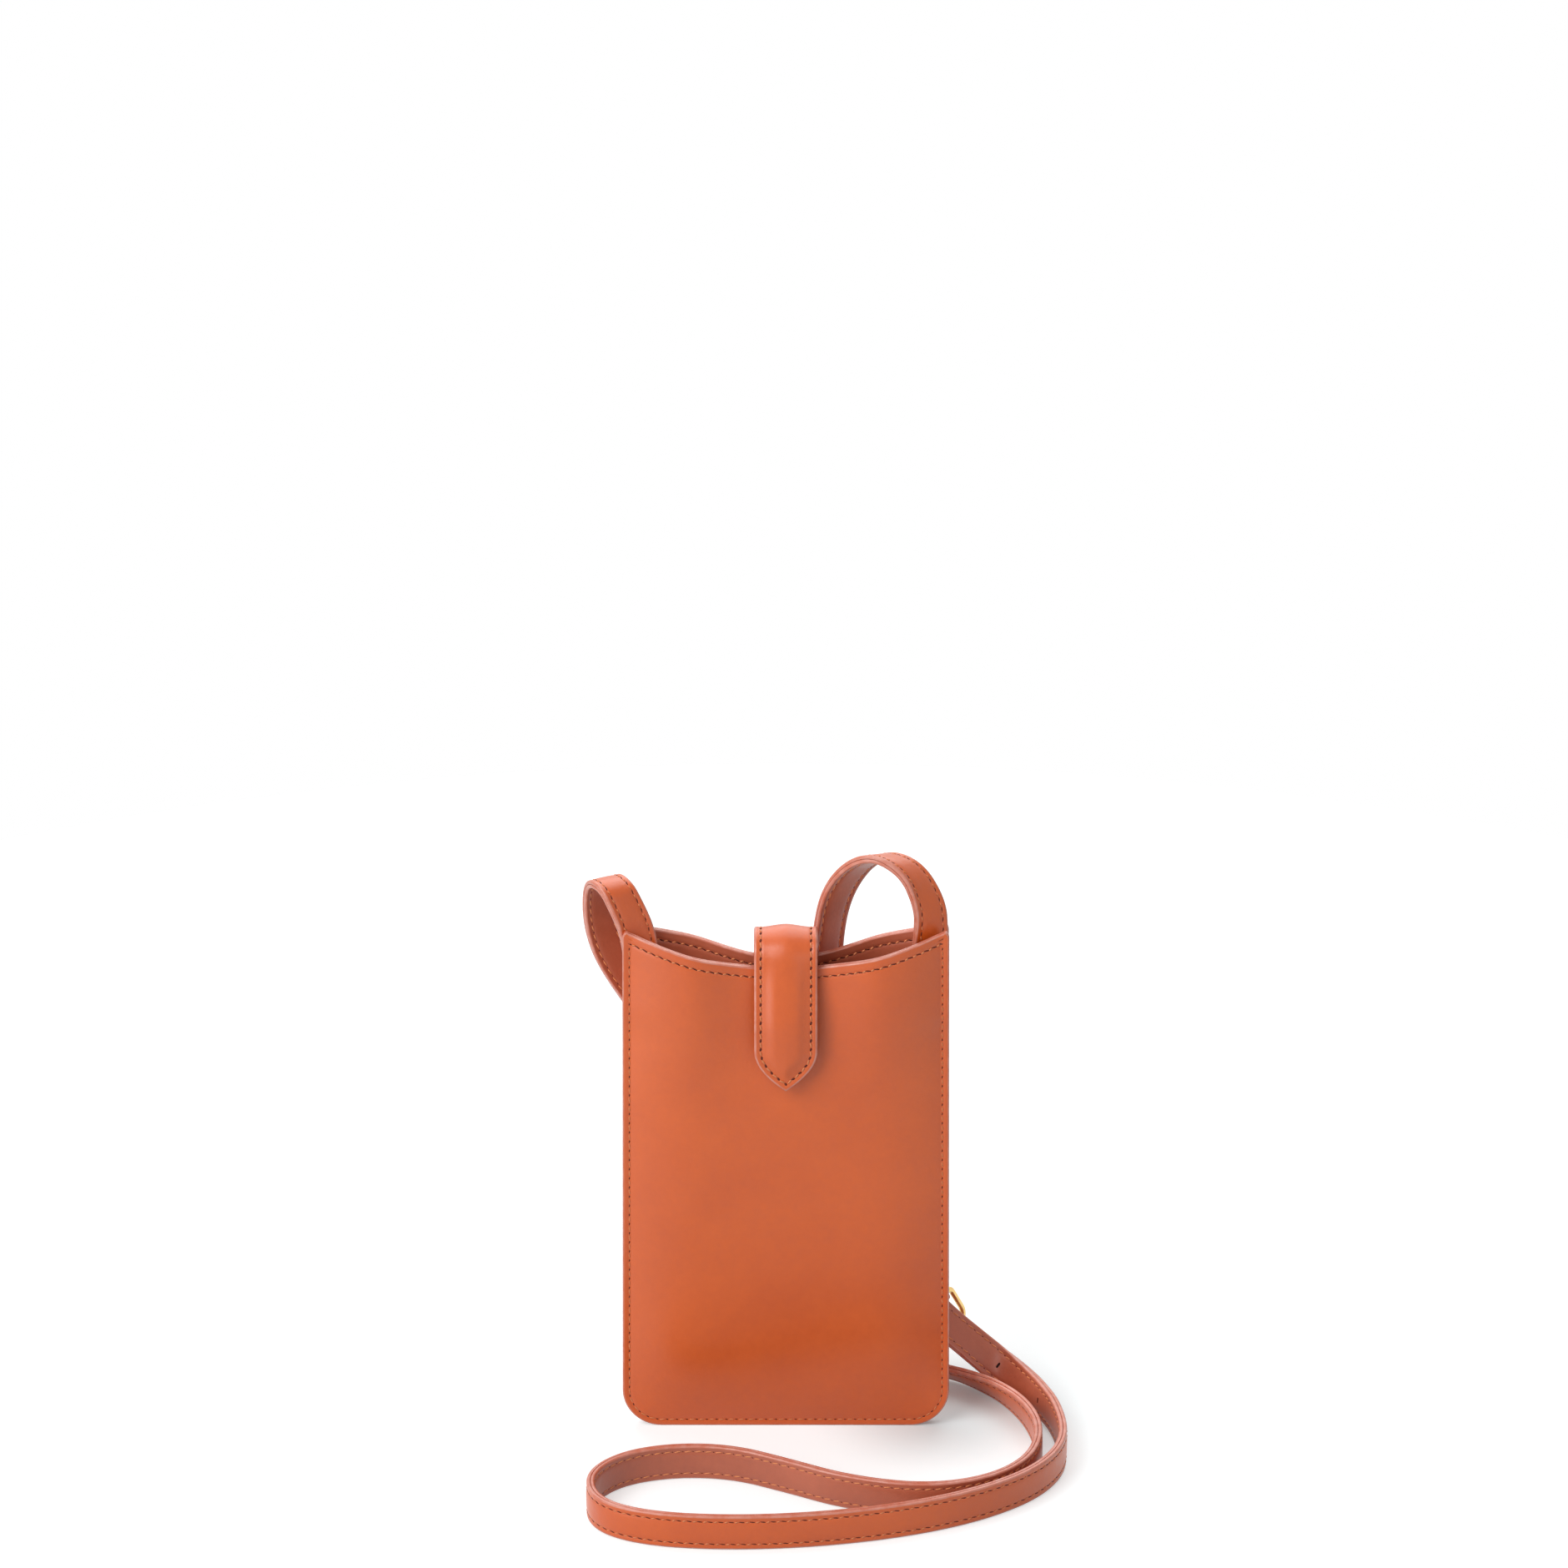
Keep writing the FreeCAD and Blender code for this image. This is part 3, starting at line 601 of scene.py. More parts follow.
# Each row's pitch and thread, the stitches' length, width, rise and slant, and the holes' length, width and
# slant; the holes are dark lenses of painted shadow.
HEM = StitchKind(2.9, Skin.THREAD, 1.25, 0.62, 0.30, 24.0, 1.95, 0.50, -13.0)
INNER_HEM = StitchKind(2.9, Skin.LINING_THREAD, 1.25, 0.58, 0.26, 24.0, 1.75, 0.46, -13.0)
SEAM = StitchKind(3.3, Skin.THREAD, 1.7, 0.50, 0.15, 8.0, 0.95, 0.40, -8.0)
TAB_ROW = StitchKind(3.1, Skin.THREAD, 1.8, 0.66, 0.26, 12.0, 1.3, 0.80, -18.0)
TAB_UNDER = StitchKind(3.1, Skin.LINING_THREAD, 2.2, 0.50, 0.18, 8.0, 0.6, 0.42, -8.0)
STRAP_ROW = StitchKind(3.4, Skin.THREAD, 1.25, 0.52, 0.26, 18.0, 1.85, 0.42, -8.0)
STRAP_UNDER = StitchKind(3.4, Skin.LINING_THREAD, 2.15, 0.46, 0.20, 9.0, 0.55, 0.34, -8.0)


def rounded_edge(radius: float, steps: int = 4) -> list[tuple[float, float]]:
    """Insets and drops of the rings that round an edge, from its wall to its face."""
    angles = [math.pi / 2 * i / steps for i in range(steps + 1)]
    return [(radius * (1 - math.sin(a)), radius * (1 - math.cos(a))) for a in reversed(angles)]


@dataclass
class PouchShell:
    """The two panels and their linings, with the stitch rows round the seam and along the lip."""

    foot_width: float = 109.2
    mouth_width: float = 106.6
    corner_height: float = 179.0
    dip_height: float = 166.5
    dip_softness: float = 20.0
    foot_corner: float = 13.0
    top_corner: float = 2.0
    panel_thickness: float = 1.4
    lining_thickness: float = 1.0
    glue_gap: float = 0.1
    seam_gap: float = 0.06
    waist_depth: float = 4.6
    lip_middle_depth: float = 4.2
    lip_side_depth: float = 8.8
    lip_flat_reach: float = 8.0
    lip_flare_run: float = 25.0
    seam_margin: float = 3.0
    side_run: float = 24.0
    foot_run: float = 34.0
    mouth_start: float = 110.0
    slot_start: float = 140.0
    slot_run: float = 12.0
    slot_depth: float = 1.45
    corner_spread: float = 0.9
    spread_start: float = 160.0
    edge_radius: float = 0.5
    side_row: float = 2.25
    lip_row: float = 3.3
    groove_depth: float = 0.2
    groove_width: float = 0.6
    sway: float = 0.22
    sway_size: float = 38.0
    sway_margin: float = 4.0
    sway_lip_margin: float = 2.0
    sway_run: float = 14.0
    hidden_radius: float = 0.12
    least_foot_corner: float = 0.6
    least_top_corner: float = 0.25
    # How drawn-in corners shrink to fit the rings by the panel's middle.
    corner_share: float = 0.9
    corner_shrink: float = 20.0
    # Drop of the lip's line for each millimetre of inset, and distance to it for each one below it.
    lip_drop: float = 1.04
    lip_square: float = 0.97
    # Where each stitch groove fades out before the other, and over what length.
    row_end: float = 0.8
    row_fade: float = 1.2
    # Share of the groove's depth at which the stitches lie.
    stitch_sink: float = 0.7
    foot_steps: int = 14
    side_steps: int = 60
    top_steps: int = 4
    lip_steps: int = 24

    def lip_height(self, x: float) -> float:
        """Works out the curved lip.

        Args:
            x: place across.

        Returns:
            The lip's height there.
        """
        reach = math.hypot(self.mouth_width / 2, self.dip_softness) - self.dip_softness
        slope = (self.corner_height - self.dip_height) / reach
        return self.dip_height + slope * (math.hypot(x, self.dip_softness) - self.dip_softness)

    def half_width(self, z: float) -> float:
        """Distance from the middle to the side edge."""
        return (self.foot_width + (self.mouth_width - self.foot_width) * z / self.corner_height) / 2

    def pocket_depth(self, x: float, z: float) -> float:
        """Works out how far the pocket stands open.

        Args:
            x: place across.
            z: height.

        Returns:
            Distance from the seam plane to the face of the lining.
        """
        inset = self.half_width(z) - abs(x)
        opening = smooth((z - self.slot_start) / self.slot_run)
        spread = smooth((z - self.spread_start) / (self.corner_height - self.spread_start))
        seam = self.seam_gap + (self.slot_depth - self.seam_gap) * opening
        seam += self.corner_spread * spread
        lip = self.lip_middle_depth + (self.lip_side_depth - self.lip_middle_depth) * smooth(
            (abs(x) - self.lip_flat_reach) / self.lip_flare_run)
        opened = smooth((z - self.mouth_start) / (self.dip_height - self.mouth_start))
        bulge = self.waist_depth + (lip - self.waist_depth) * opened
        side = swell((inset - self.seam_margin) / self.side_run)
        foot = swell((z - self.seam_margin) / self.foot_run)
        return seam + max(bulge - seam, 0.0) * side * foot

    def outline(self, inset: float) -> list[Vector]:
        """Closed outline of a panel, drawn in from its edge, as points in the seam plane.

        Args:
            inset: distance in from the edge.

        Returns:
            As many points for each inset, from the middle of the foot to the right and round.
        """
        share = 1 - inset / (self.mouth_width / 2)

        def side(z: float) -> float:
            """Distance from the middle to the drawn-in side."""
            return self.half_width(z) * share

        radius = max(self.foot_corner - inset, self.least_foot_corner)
        radius = min(radius, max(side(inset) * self.corner_share, 0.0))
        corner_x = side(inset + radius) - radius
        steps = self.foot_steps
        right = [Vector((corner_x * i / steps, 0, inset)) for i in range(steps)]
        for i in range(steps + 1):
            a = math.pi / 2 * i / steps
            right.append(Vector((corner_x + radius * math.sin(a), 0, inset + radius * (1 - math.cos(a)))))
        lip_drop = inset * self.lip_drop
        top_radius = max(self.top_corner - inset, self.least_top_corner)
        top_radius *= min(share * self.corner_shrink, 1)
        edge_x = side(self.corner_height)
        top = self.lip_height(edge_x if inset > self.top_corner else edge_x / share) - lip_drop
        start = inset + radius
        end = top - top_radius
        for i in range(1, self.side_steps + 1):
            z = start + (end - start) * i / self.side_steps
            right.append(Vector((side(z), 0, z)))
        for i in range(1, self.top_steps):
            a = math.pi / 2 * i / self.top_steps
            x = edge_x - top_radius * (1 - math.cos(a))
            right.append(Vector((x, 0, end + top_radius * math.sin(a))))
        lip_end = edge_x - top_radius
        for i in range(self.lip_steps):
            x = lip_end * (1 - i / self.lip_steps)
            right.append(Vector((x, 0, self.lip_height(x) - lip_drop)))
        middle = Vector((0, 0, self.dip_height - lip_drop))
        left = [Vector((-p.x, 0, p.z)) for p in reversed(right[1:])]
        return right + [middle] + left

    def edge_distances(self, x: float, z: float) -> tuple[float, float]:
        """Measures a point's distances from a panel's edges.

        Args:
            x: place across.
            z: height.

        Returns:
            Distance in from the sewn edge round the sides and foot, and down from the lip.
        """
        side = self.half_width(z) - abs(x)
        corner = self.foot_corner
        if z < corner and side < corner:
            sewn = corner - math.hypot(corner - side, corner - z)
        else:
            sewn = min(side, z)
        return sewn, (self.lip_height(x) - z) * self.lip_square

    def groove(self, x: float, z: float) -> float:
        """Works out how far the stitch rows draw the leather in.

        Args:
            x: place across.
            z: height.

        Returns:
            The groove's depth.
        """
        sewn, lip = self.edge_distances(x, z)
        seam = ripple(sewn - self.side_row, self.groove_width)
        seam *= smooth((lip - self.lip_row + self.row_end) / self.row_fade)
        hem = ripple(lip - self.lip_row, self.groove_width)
        hem *= smooth((sewn - self.side_row + self.row_end) / self.row_fade)
        return self.groove_depth * max(seam, hem)

    def surface(self, side: int, offset: float, x: float, z: float) -> Vector:
        """Point on a layer's face.

        Args:
            side: -1 for the front, 1 for the back.
            offset: distance out from the pocket's face.
            x: place across.
            z: height.

        Returns:
            The point, with the panel's slow waviness in it.
        """
        sewn, lip = self.edge_distances(x, z)
        loose = smooth((sewn - self.sway_margin) / self.sway_run)
        loose *= smooth((lip - self.sway_lip_margin) / self.sway_run)
        apart = 40.0
        wave = noise.noise(Vector((x, side * apart, z)) / self.sway_size) * self.sway * loose
        return Vector((x, side * (self.pocket_depth(x, z) + offset + wave), z))

    def normal(self, side: int, offset: float, x: float, z: float, outward: int) -> Vector:
        """Normal of a layer's face.

        Args:
            side: -1 for the front, 1 for the back.
            offset: distance of the face from the pocket's face.
            x: place across.
            z: height.
            outward: 1 for the normal away from the pocket, -1 for the one into it.

        Returns:
            The normal.
        """
        step = 0.4
        across = self.surface(side, offset, x + step, z) - self.surface(side, offset, x - step, z)
        up = self.surface(side, offset, x, z + step) - self.surface(side, offset, x, z - step)
        out = across.cross(up).normalized()
        return out if out.y * side * outward > 0 else -out

    def layer(self, draft: Draft, side: int, low: float, high: float, shown: int, face: Skin) -> None:
        """Adds one closed layer of leather.

        Args:
            draft: mesh that takes it.
            side: -1 for the front, 1 for the back.
            low: distance of its inner face from the pocket's face.
            high: distance of its outer face.
            shown: 1 where its outer face shows, -1 where its inner one does.
            face: finish of the face that shows.
        """
        far = self.mouth_width / 2
        fine = (0.8, 1.15, 1.5, 1.8, 2.05, 2.3, 2.6, 2.9, 3.2, 3.5, 3.8, 4.2, 4.8, 5.6, 6.6, 7.6, 8.6, 9.6,
                10.8, 12.0, 13.5, 15.5, 18.0, 21.0, 24.5, 28.5, 33.0, 38.0, 43.5, 49.0, far)
        coarse = (0.8, 2.0, 4.0, 6.0, 8.0, 10.5, 13.5, 18.0, 24.5, 33.0, 43.5, far)
        show, hide = (high, low) if shown > 0 else (low, high)
        levels = [(inset, hide, False, face) for inset in reversed(coarse)]
        for inset, drop in reversed(rounded_edge(self.hidden_radius, 2)):
            levels.append((inset, hide + shown * drop, False, Skin.EDGE))
        *edge, (last_inset, last_drop) = rounded_edge(self.edge_radius)
        for inset, drop in edge:
            levels.append((inset, show - shown * drop, False, Skin.EDGE))
        levels.append((last_inset, show - shown * last_drop, False, face))
        levels += [(inset, show, True, face) for inset in fine]
        rings = []
        for inset, offset, grooved, _ in levels:
            ring = []
            for p in self.outline(inset):
                dent = shown * self.groove(p.x, p.z) if grooved else 0.0
                ring.append(self.surface(side, offset - dent, p.x, p.z))
            rings.append(ring)
        draft.bridge(rings, lambda i, j: levels[i][3])

    def side_path(self) -> list[tuple[float, float]]:
        """Draws the line of the seam's stitch row.

        Returns:
            Places across and heights, down the left side, along the foot and up the right.
        """
        lip_gap = 1.6
        reach = 0.6
        ring = self.outline(self.side_row)
        lowest = len(ring) // 2
        path = []
        for p in ring[lowest:] + ring[:lowest]:
            sewn, lip = self.edge_distances(p.x, p.z)
            if lip > self.lip_row + lip_gap and sewn < self.side_row + reach:
                path.append((p.x, p.z))
        return path

    def lip_path(self) -> list[tuple[float, float]]:
        """Draws the line of the stitch row under the lip.

        Returns:
            Places across and heights, from left to right.
        """
        reach = self.mouth_width / 2 - self.side_row
        drop = self.lip_row / self.lip_square
        half = 30
        places = [reach * (i / half - 1) for i in range(2 * half + 1)]
        return [(x, self.lip_height(x) - drop) for x in places]

    def row(self, draft: Draft, path: Sequence[tuple[float, float]], side: int, offset: float,
            outward: int, kind: StitchKind) -> int:
        """Sews a row on a layer's face.

        Args:
            draft: mesh that takes the stitches.
            path: places across and heights along the row.
            side: -1 for the front, 1 for the back.
            offset: distance of the face from the pocket's face.
            outward: 1 where the face looks away from the pocket, -1 where it looks into it.
            kind: how the row looks.

        Returns:
            The number of stitches.
        """
        sunk = offset - outward * self.groove_depth * self.stitch_sink
        points = [self.surface(side, sunk, x, z) for x, z in path]
        normals = [self.normal(side, offset, x, z, outward) for x, z in path]
        return sew(draft, points, normals, kind)

    def build(self) -> list[Piece]:
        """Makes the panels and linings with their stitches.

        Returns:
            The four pieces.
        """
        inner = self.lining_thickness + self.glue_gap
        outer = inner + self.panel_thickness
        made = []
        for side, name in ((-1, "front"), (1, "back")):
            draft = Draft()
            self.layer(draft, side, inner, outer, 1, Skin.FACE)
            stitches = self.row(draft, self.side_path(), side, outer, 1, SEAM)
            stitches += self.row(draft, self.lip_path(), side, outer, 1, HEM)
            panel = draft.make(f"{name}_panel_leather")
            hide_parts(f"{name}_panel")
            draft = Draft()
            self.layer(draft, side, 0.0, self.lining_thickness, -1, Skin.LINING)
            stitches += self.row(draft, self.lip_path(), side, 0.0, -1, INNER_HEM)
            lining = draft.make(f"{name}_lining_leather")
            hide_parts(f"{name}_lining")
            LOG.info("%s panel and lining: %d stitches", name, stitches)
            made += [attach(panel, "pouch"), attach(lining, "pouch")]
        return made


@dataclass
class SnapTab:
    """The padded tab: sewn behind the mouth, over it in an arch, and down the front to its snap."""

    half_width: float = 10.4
    point: float = 14.3
    tip_height: float = 125.5
    anchor_tip_height: float = 128.0
    arch_height: float = 169.0
    arch_radius: float = 7.35
    front: float = 10.015
    knee_height: float = 148.6
    knee_ease: float = 7.0
    margin_thickness: float = 2.1
    crown: float = 1.35
    crown_start: float = 2.3
    crown_run: float = 5.0
    dome: float = 0.95
    anchor_dome: float = 0.3
    pad_start: float = 57.0
    pad_run: float = 16.0
    edge_radius: float = 0.75
    row: float = 2.2
    groove_depth: float = 0.22
    groove_width: float = 0.55
    under_radius: float = 0.3
    # Further rise to the tab's middle line, as a share of the crown, and where it starts.
    ridge: float = 0.25
    ridge_gap: float = 1.0
    dome_lead: float = 20.0
    # Depth of the lining's groove and of the stitches on either face, as shares of the groove.
    under_groove: float = 0.6
    stitch_sink: float = 0.7
    under_sink: float = 0.5
    hinge_setback: float = 3.4
    bend_behind: float = 2.6
    bend_ahead: float = 7.4
    anchor_steps: int = 20
    arch_steps: int = 32
    front_steps: int = 40
    tip_steps: int = 16
    side_steps: int = 64

    def __post_init__(self) -> None:
        """Works out the side profile of the tab's inner face."""
        fall = self.arch_height - self.knee_height
        slant = math.atan2(self.front, fall) - math.asin(self.arch_radius / math.hypot(self.front, fall))
        line: list[tuple[float, float]] = []
        rise = self.arch_height - self.anchor_tip_height
        for i in range(self.anchor_steps):
            line.append((self.arch_radius, self.anchor_tip_height + rise * i / self.anchor_steps))
        sweep = math.pi - slant
        for i in range(self.arch_steps + 1):
            a = sweep * i / self.arch_steps
            line.append((self.arch_radius * math.cos(a), self.arch_height + self.arch_radius * math.sin(a)))
        top_y, top_z = line[-1]
        below = -self.front
        ease = self.knee_ease * math.tan(slant) / 2
        for i in range(1, self.front_steps + 1):
            z = top_z + (self.tip_height - top_z) * i / self.front_steps
            straight = below + (self.front + top_y) * (z - self.knee_height) / (top_z - self.knee_height)
            y = (straight + below + math.hypot(straight - below, ease)) / 2
            line.append((y - ease / 2 * ripple(z - self.knee_height, self.knee_ease), z))
        self.profile = [Vector((0, y, z)) for y, z in line]
        self.runs = [0.0]
        for a, b in zip(self.profile, self.profile[1:]):
            self.runs.append(self.runs[-1] + (b - a).length)
        self.length = self.runs[-1]

    def place(self, x: float, s: float, offset: float) -> Vector:
        """Point of the tab.

        Args:
            x: place across.
            s: distance along the profile from the anchor's tip.
            offset: distance out from the inner face.

        Returns:
            The point.
        """
        s = min(max(s, 0.0), self.length)
        i = max(k for k in range(len(self.runs) - 1) if self.runs[k] <= s + 1e-9)
        share = (s - self.runs[i]) / (self.runs[i + 1] - self.runs[i])
        middle = self.profile[i].lerp(self.profile[i + 1], share)
        out = self.outward(i).lerp(self.outward(i + 1), share).normalized()
        point = middle + out * offset
        return Vector((x, point.y, point.z))

    def outward(self, i: int) -> Vector:
        """Outward normal of the profile.

        Args:
            i: number of the profile's point.

        Returns:
            The normal at that point.
        """
        a = self.profile[max(i - 1, 0)]
        b = self.profile[min(i + 1, len(self.profile) - 1)]
        heading = (b - a).normalized()
        return Vector((0, heading.z, -heading.y))

    def outline(self, inset: float) -> list[tuple[float, float]]:
        """Closed outline of the tab laid flat, pointed at both ends, drawn in from its edge.

        Args:
            inset: distance in from the edge.

        Returns:
            Places across and along the profile, as many for each inset.
        """
        low = self.point
        high = self.length - self.point
        meeting = self.tip_start(inset)
        turn = [self.curve(meeting * (1 - i / self.tip_steps), inset) for i in range(self.tip_steps + 1)]
        right = [(x, low - s) for x, s in turn]
        right[0] = (0.0, right[0][1])
        half = self.half_width - inset
        right += [(half, low + (high - low) * i / self.side_steps) for i in range(1, self.side_steps + 1)]
        right += [(x, high + s) for x, s in reversed(turn[:-1])]
        right[-1] = (0.0, right[-1][1])
        return right + [(-x, s) for x, s in reversed(right[1:-1])]

    def curve(self, t: float, inset: float) -> tuple[float, float]:
        """Place on the curved side of an end's point.

        Args:
            t: share of the way from the shoulder to the tip.
            inset: distance in from the edge.

        Returns:
            The place across, and its distance beyond the shoulder.
        """
        slope = -2 * self.half_width * t / self.point
        drawn = inset / math.hypot(1.0, slope)
        return self.half_width * (1 - t * t) - drawn, self.point * t + slope * drawn

    def tip_start(self, inset: float) -> float:
        """Finds where the two sides of a drawn-in point meet.

        Args:
            inset: distance in from the edge.

        Returns:
            The share of the way from the shoulder to the tip.
        """
        low, high = 0.0, 1.0
        for _ in range(40):
            middle = (low + high) / 2
            if self.curve(middle, inset)[0] > 0:
                low = middle
            else:
                high = middle
        return (low + high) / 2

    def height(self, inset: float, s: float) -> float:
        """Thickness of the tab: flat margin, groove, and a crown that is padded on the front only.

        Args:
            inset: distance in from the edge.
            s: distance along the profile from the anchor's tip.

        Returns:
            The thickness.
        """
        inward = inset - self.crown_start
        reach = self.half_width - self.crown_start
        pad = self.crown * smooth(inward / self.crown_run)
        pad += self.ridge * self.crown * smooth((inward - self.ridge_gap) / reach)
        rise = smooth((s - self.pad_start + self.dome_lead) / self.pad_run)
        low = self.anchor_dome + (self.dome - self.anchor_dome) * rise
        low *= smooth(inward / reach)
        crown = low + (pad - low) * smooth((s - self.pad_start) / self.pad_run)
        groove = self.groove_depth * ripple(inset - self.row, self.groove_width)
        return self.margin_thickness + crown - groove

    def close(self, draft: Draft, start: int, finish: Skin) -> None:
        """Closes an innermost ring with faces across it.

        Args:
            draft: mesh that holds the ring.
            start: number of the ring's first point.
            finish: the faces' finish.
        """
        count = len(self.outline(self.row))
        for i in range(count // 2):
            corners = dict.fromkeys(k % count for k in (i, i + 1, count - i - 1, count - i))
            draft.face((start + k for k in corners), finish)

    def build(self) -> Piece:
        """Makes the tab as one piece of leather that arches over the mouth, where the hinge is.

        Returns:
            The piece.
        """
        draft = Draft()
        fine = (1.0, 1.3, 1.6, 1.9, 2.2, 2.5, 2.8, 3.2, 3.6, 4.1, 4.7, 5.4, 6.2, 7.2, 8.4, 9.4, 10.0)
        coarse = (0.6, 1.2, 1.7, 2.2, 2.7, 4.0, 6.0, 8.2, 10.0)
        rings = []
        finishes = []
        for inset in reversed(coarse):
            dent = self.groove_depth * self.under_groove * ripple(inset - self.row, self.groove_width)
            rings.append([self.place(x, s, dent) for x, s in self.outline(inset)])
            finishes.append(Skin.LINING)
        for inset, drop in reversed(rounded_edge(self.under_radius, 3)):
            rings.append([self.place(x, s, drop) for x, s in self.outline(inset)])
            finishes.append(Skin.EDGE)
        for inset, drop in rounded_edge(self.edge_radius):
            rings.append([self.place(x, s, self.margin_thickness - drop) for x, s in self.outline(inset)])
            finishes.append(Skin.EDGE)
        finishes[-1] = Skin.FACE
        for inset in fine:
            rings.append([self.place(x, s, self.height(inset, s)) for x, s in self.outline(inset)])
            finishes.append(Skin.FACE)
        draft.bridge(rings, lambda i, j: finishes[i])
        self.close(draft, 0, Skin.LINING)
        self.close(draft, len(draft.points) - len(rings[-1]), Skin.FACE)
        path = self.outline(self.row)
        path = path + path[:1]
        top = self.margin_thickness - self.groove_depth * self.stitch_sink
        under = self.groove_depth * self.under_sink
        stitches = 0
        for offset, outward, kind in ((top, 1.0, TAB_ROW), (under, -1.0, TAB_UNDER)):
            points = [self.place(x, s, offset) for x, s in path]
            normals = [(self.place(x, s, offset + 1) - p) * outward for p, (x, s) in zip(points, path)]
            stitches += sew(draft, points, normals, kind)
        tab = draft.make("snap_tab_leather")
        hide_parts("tab_outer", "tab_lining", "tab_filler", "tab_anchor_outer", "tab_anchor_lining")
        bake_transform(tab)
        LOG.info("snap tab: %d stitches", stitches)
        return tab


# Control points of each strap's middle line, with the direction of its width at each, and then its
# last control points as distances along the buckle's axis and out of its face.
SIDEWAYS: Point = (1.0, 0.0, 0.0)
UPRIGHT: Point = (0.0, 0.0, -1.0)
RIGHT_ROUTE: list[tuple[Point, Point]] = [
    ((46.6, 0.0, 154.0), SIDEWAYS),
    ((46.8, 0.0, 165.0), SIDEWAYS),
    ((47.4, 0.0, 177.0), (0.90, 0.43, 0.0)),
    ((47.1, 0.8, 186.5), (0.80, 0.60, 0.0)),
    ((40.5, 3.5, 198.6), (0.52, 0.85, -0.02)),
    ((28.0, 8.0, 201.6), (0.56, 0.78, -0.30)),
    ((17.2, 13.0, 188.5), (0.86, 0.46, -0.22)),
    ((13.4, 17.5, 168.0), (0.80, 0.60, 0.0)),
    ((12.5, 17.0, 140.0), (0.95, 0.25, 0.0)),
    ((12.5, 13.6, 100.0), SIDEWAYS),
    ((12.0, 12.9, 74.0), (0.97, -0.24, 0.0)),
    ((13.0, 16.0, 47.0), (0.55, -0.82, -0.08)),
    ((18.0, 20.0, 28.5), (0.10, -0.90, -0.42)),
    ((26.0, 26.0, 15.5), (-0.15, -0.62, -0.77)),
    ((35.5, 31.0, 9.0), (0.0, -0.10, -0.99)),
    ((44.5, 32.8, 6.4), (0.15, 0.42, -0.90)),
    ((53.0, 29.8, 5.2), (0.25, 0.76, -0.60)),
    ((62.5, 23.0, 5.1), (0.24, 0.68, -0.70)),
    ((73.0, 10.5, 5.8), (0.20, 0.54, -0.81)),
    ((81.5, -8.0, 6.2), (0.12, 0.26, -0.95)),
    ((84.5, -29.0, 6.15), UPRIGHT),
    ((80.0, -50.0, 6.0), UPRIGHT),
    ((66.0, -65.0, 6.0), UPRIGHT),
    ((45.0, -71.0, 6.0), UPRIGHT),
    ((20.0, -64.5, 6.0), UPRIGHT),
    ((0.0, -52.0, 6.0), UPRIGHT),
    ((-18.0, -42.0, 6.0), UPRIGHT),
    ((-38.0, -41.0, 6.0), UPRIGHT),
    ((-55.5, -48.0, 6.0), UPRIGHT),
    ((-65.0, -63.0, 6.0), UPRIGHT),
    ((-61.5, -81.0, 6.0), UPRIGHT),
    ((-45.0, -91.0, 6.0), UPRIGHT),
    ((-18.0, -94.0, 6.0), UPRIGHT),
    ((12.0, -91.5, 6.0), UPRIGHT),
    ((42.0, -83.5, 6.0), UPRIGHT),
    ((66.0, -71.5, 6.0), UPRIGHT),
    ((84.0, -55.0, 6.0), UPRIGHT),
    ((92.5, -35.0, 6.2), UPRIGHT),
    ((90.4, -12.0, 7.2), (-0.05, 0.0, -1.0)),
    ((84.4, 6.0, 7.2), (-0.12, -0.06, -0.99)),
    ((78.6, 16.8, 7.4), (-0.25, -0.15, -0.95)),
    ((72.6, 23.6, 9.0), (-0.40, -0.38, -0.83)),
]
RIGHT_TAIL: list[tuple[float, float]] = [(20.0, -4.5), (5.0, 0.0), (-30.0, 0.0), (-66.0, 0.0)]
LEFT_ROUTE: list[tuple[Point, Point]] = [
    ((-46.6, 0.0, 154.0), SIDEWAYS),
    ((-46.9, 0.0, 165.0), SIDEWAYS),
    ((-48.2, 0.2, 176.0), (0.92, 0.40, 0.0)),
    ((-51.4, 0.6, 184.5), (0.84, 0.54, 0.0)),
    ((-56.0, 2.2, 193.2), (0.84, 0.54, 0.0)),
    ((-61.0, 13.5, 190.6), (0.86, 0.50, 0.0)),
    ((-61.3, 18.5, 173.0), (0.87, 0.48, 0.10)),
    ((-55.6, 18.5, 157.5), (0.85, 0.30, 0.35)),
]
LEFT_TAIL: list[tuple[float, float]] = [(-132.0, 0.0), (-100.0, 0.0), (-50.0, 0.0), (0.0, 0.0)]


def nurbs_samples(points: Sequence[Vector], steps: int) -> list[Vector]:
    """Points along the smooth spline that has these control points.

    Args:
        points: the control points.
        steps: points to each stretch of the spline.

    Returns:
        Points along the spline, from end to end.
    """
    curve = bpy.data.curves.new("strap_route", "CURVE")
    curve.dimensions = "3D"
    curve.resolution_u = steps
    spline = curve.splines.new("NURBS")
    spline.points.add(len(points) - 1)
    for control, point in zip(spline.points, points):
        control.co = (*point, 1.0)
    spline.order_u = 3
    spline.use_endpoint_u = True
    holder = bpy.data.objects.new("strap_route", curve)
    mesh = bpy.data.meshes.new_from_object(holder)
    samples = [v.co.copy() for v in mesh.vertices]
    bpy.data.meshes.remove(mesh)
    bpy.data.objects.remove(holder)
    bpy.data.curves.remove(curve)
    return samples


@dataclass
class Station:
    """A place on a strap: its middle, its width direction and the normal of its outer face."""

    middle: Vector
    wide: Vector
    out: Vector

    def at(self, across: float, height: float) -> Vector:
        """Point at a distance across the strap and a height over its middle."""
        return self.middle + self.wide * across + self.out * height


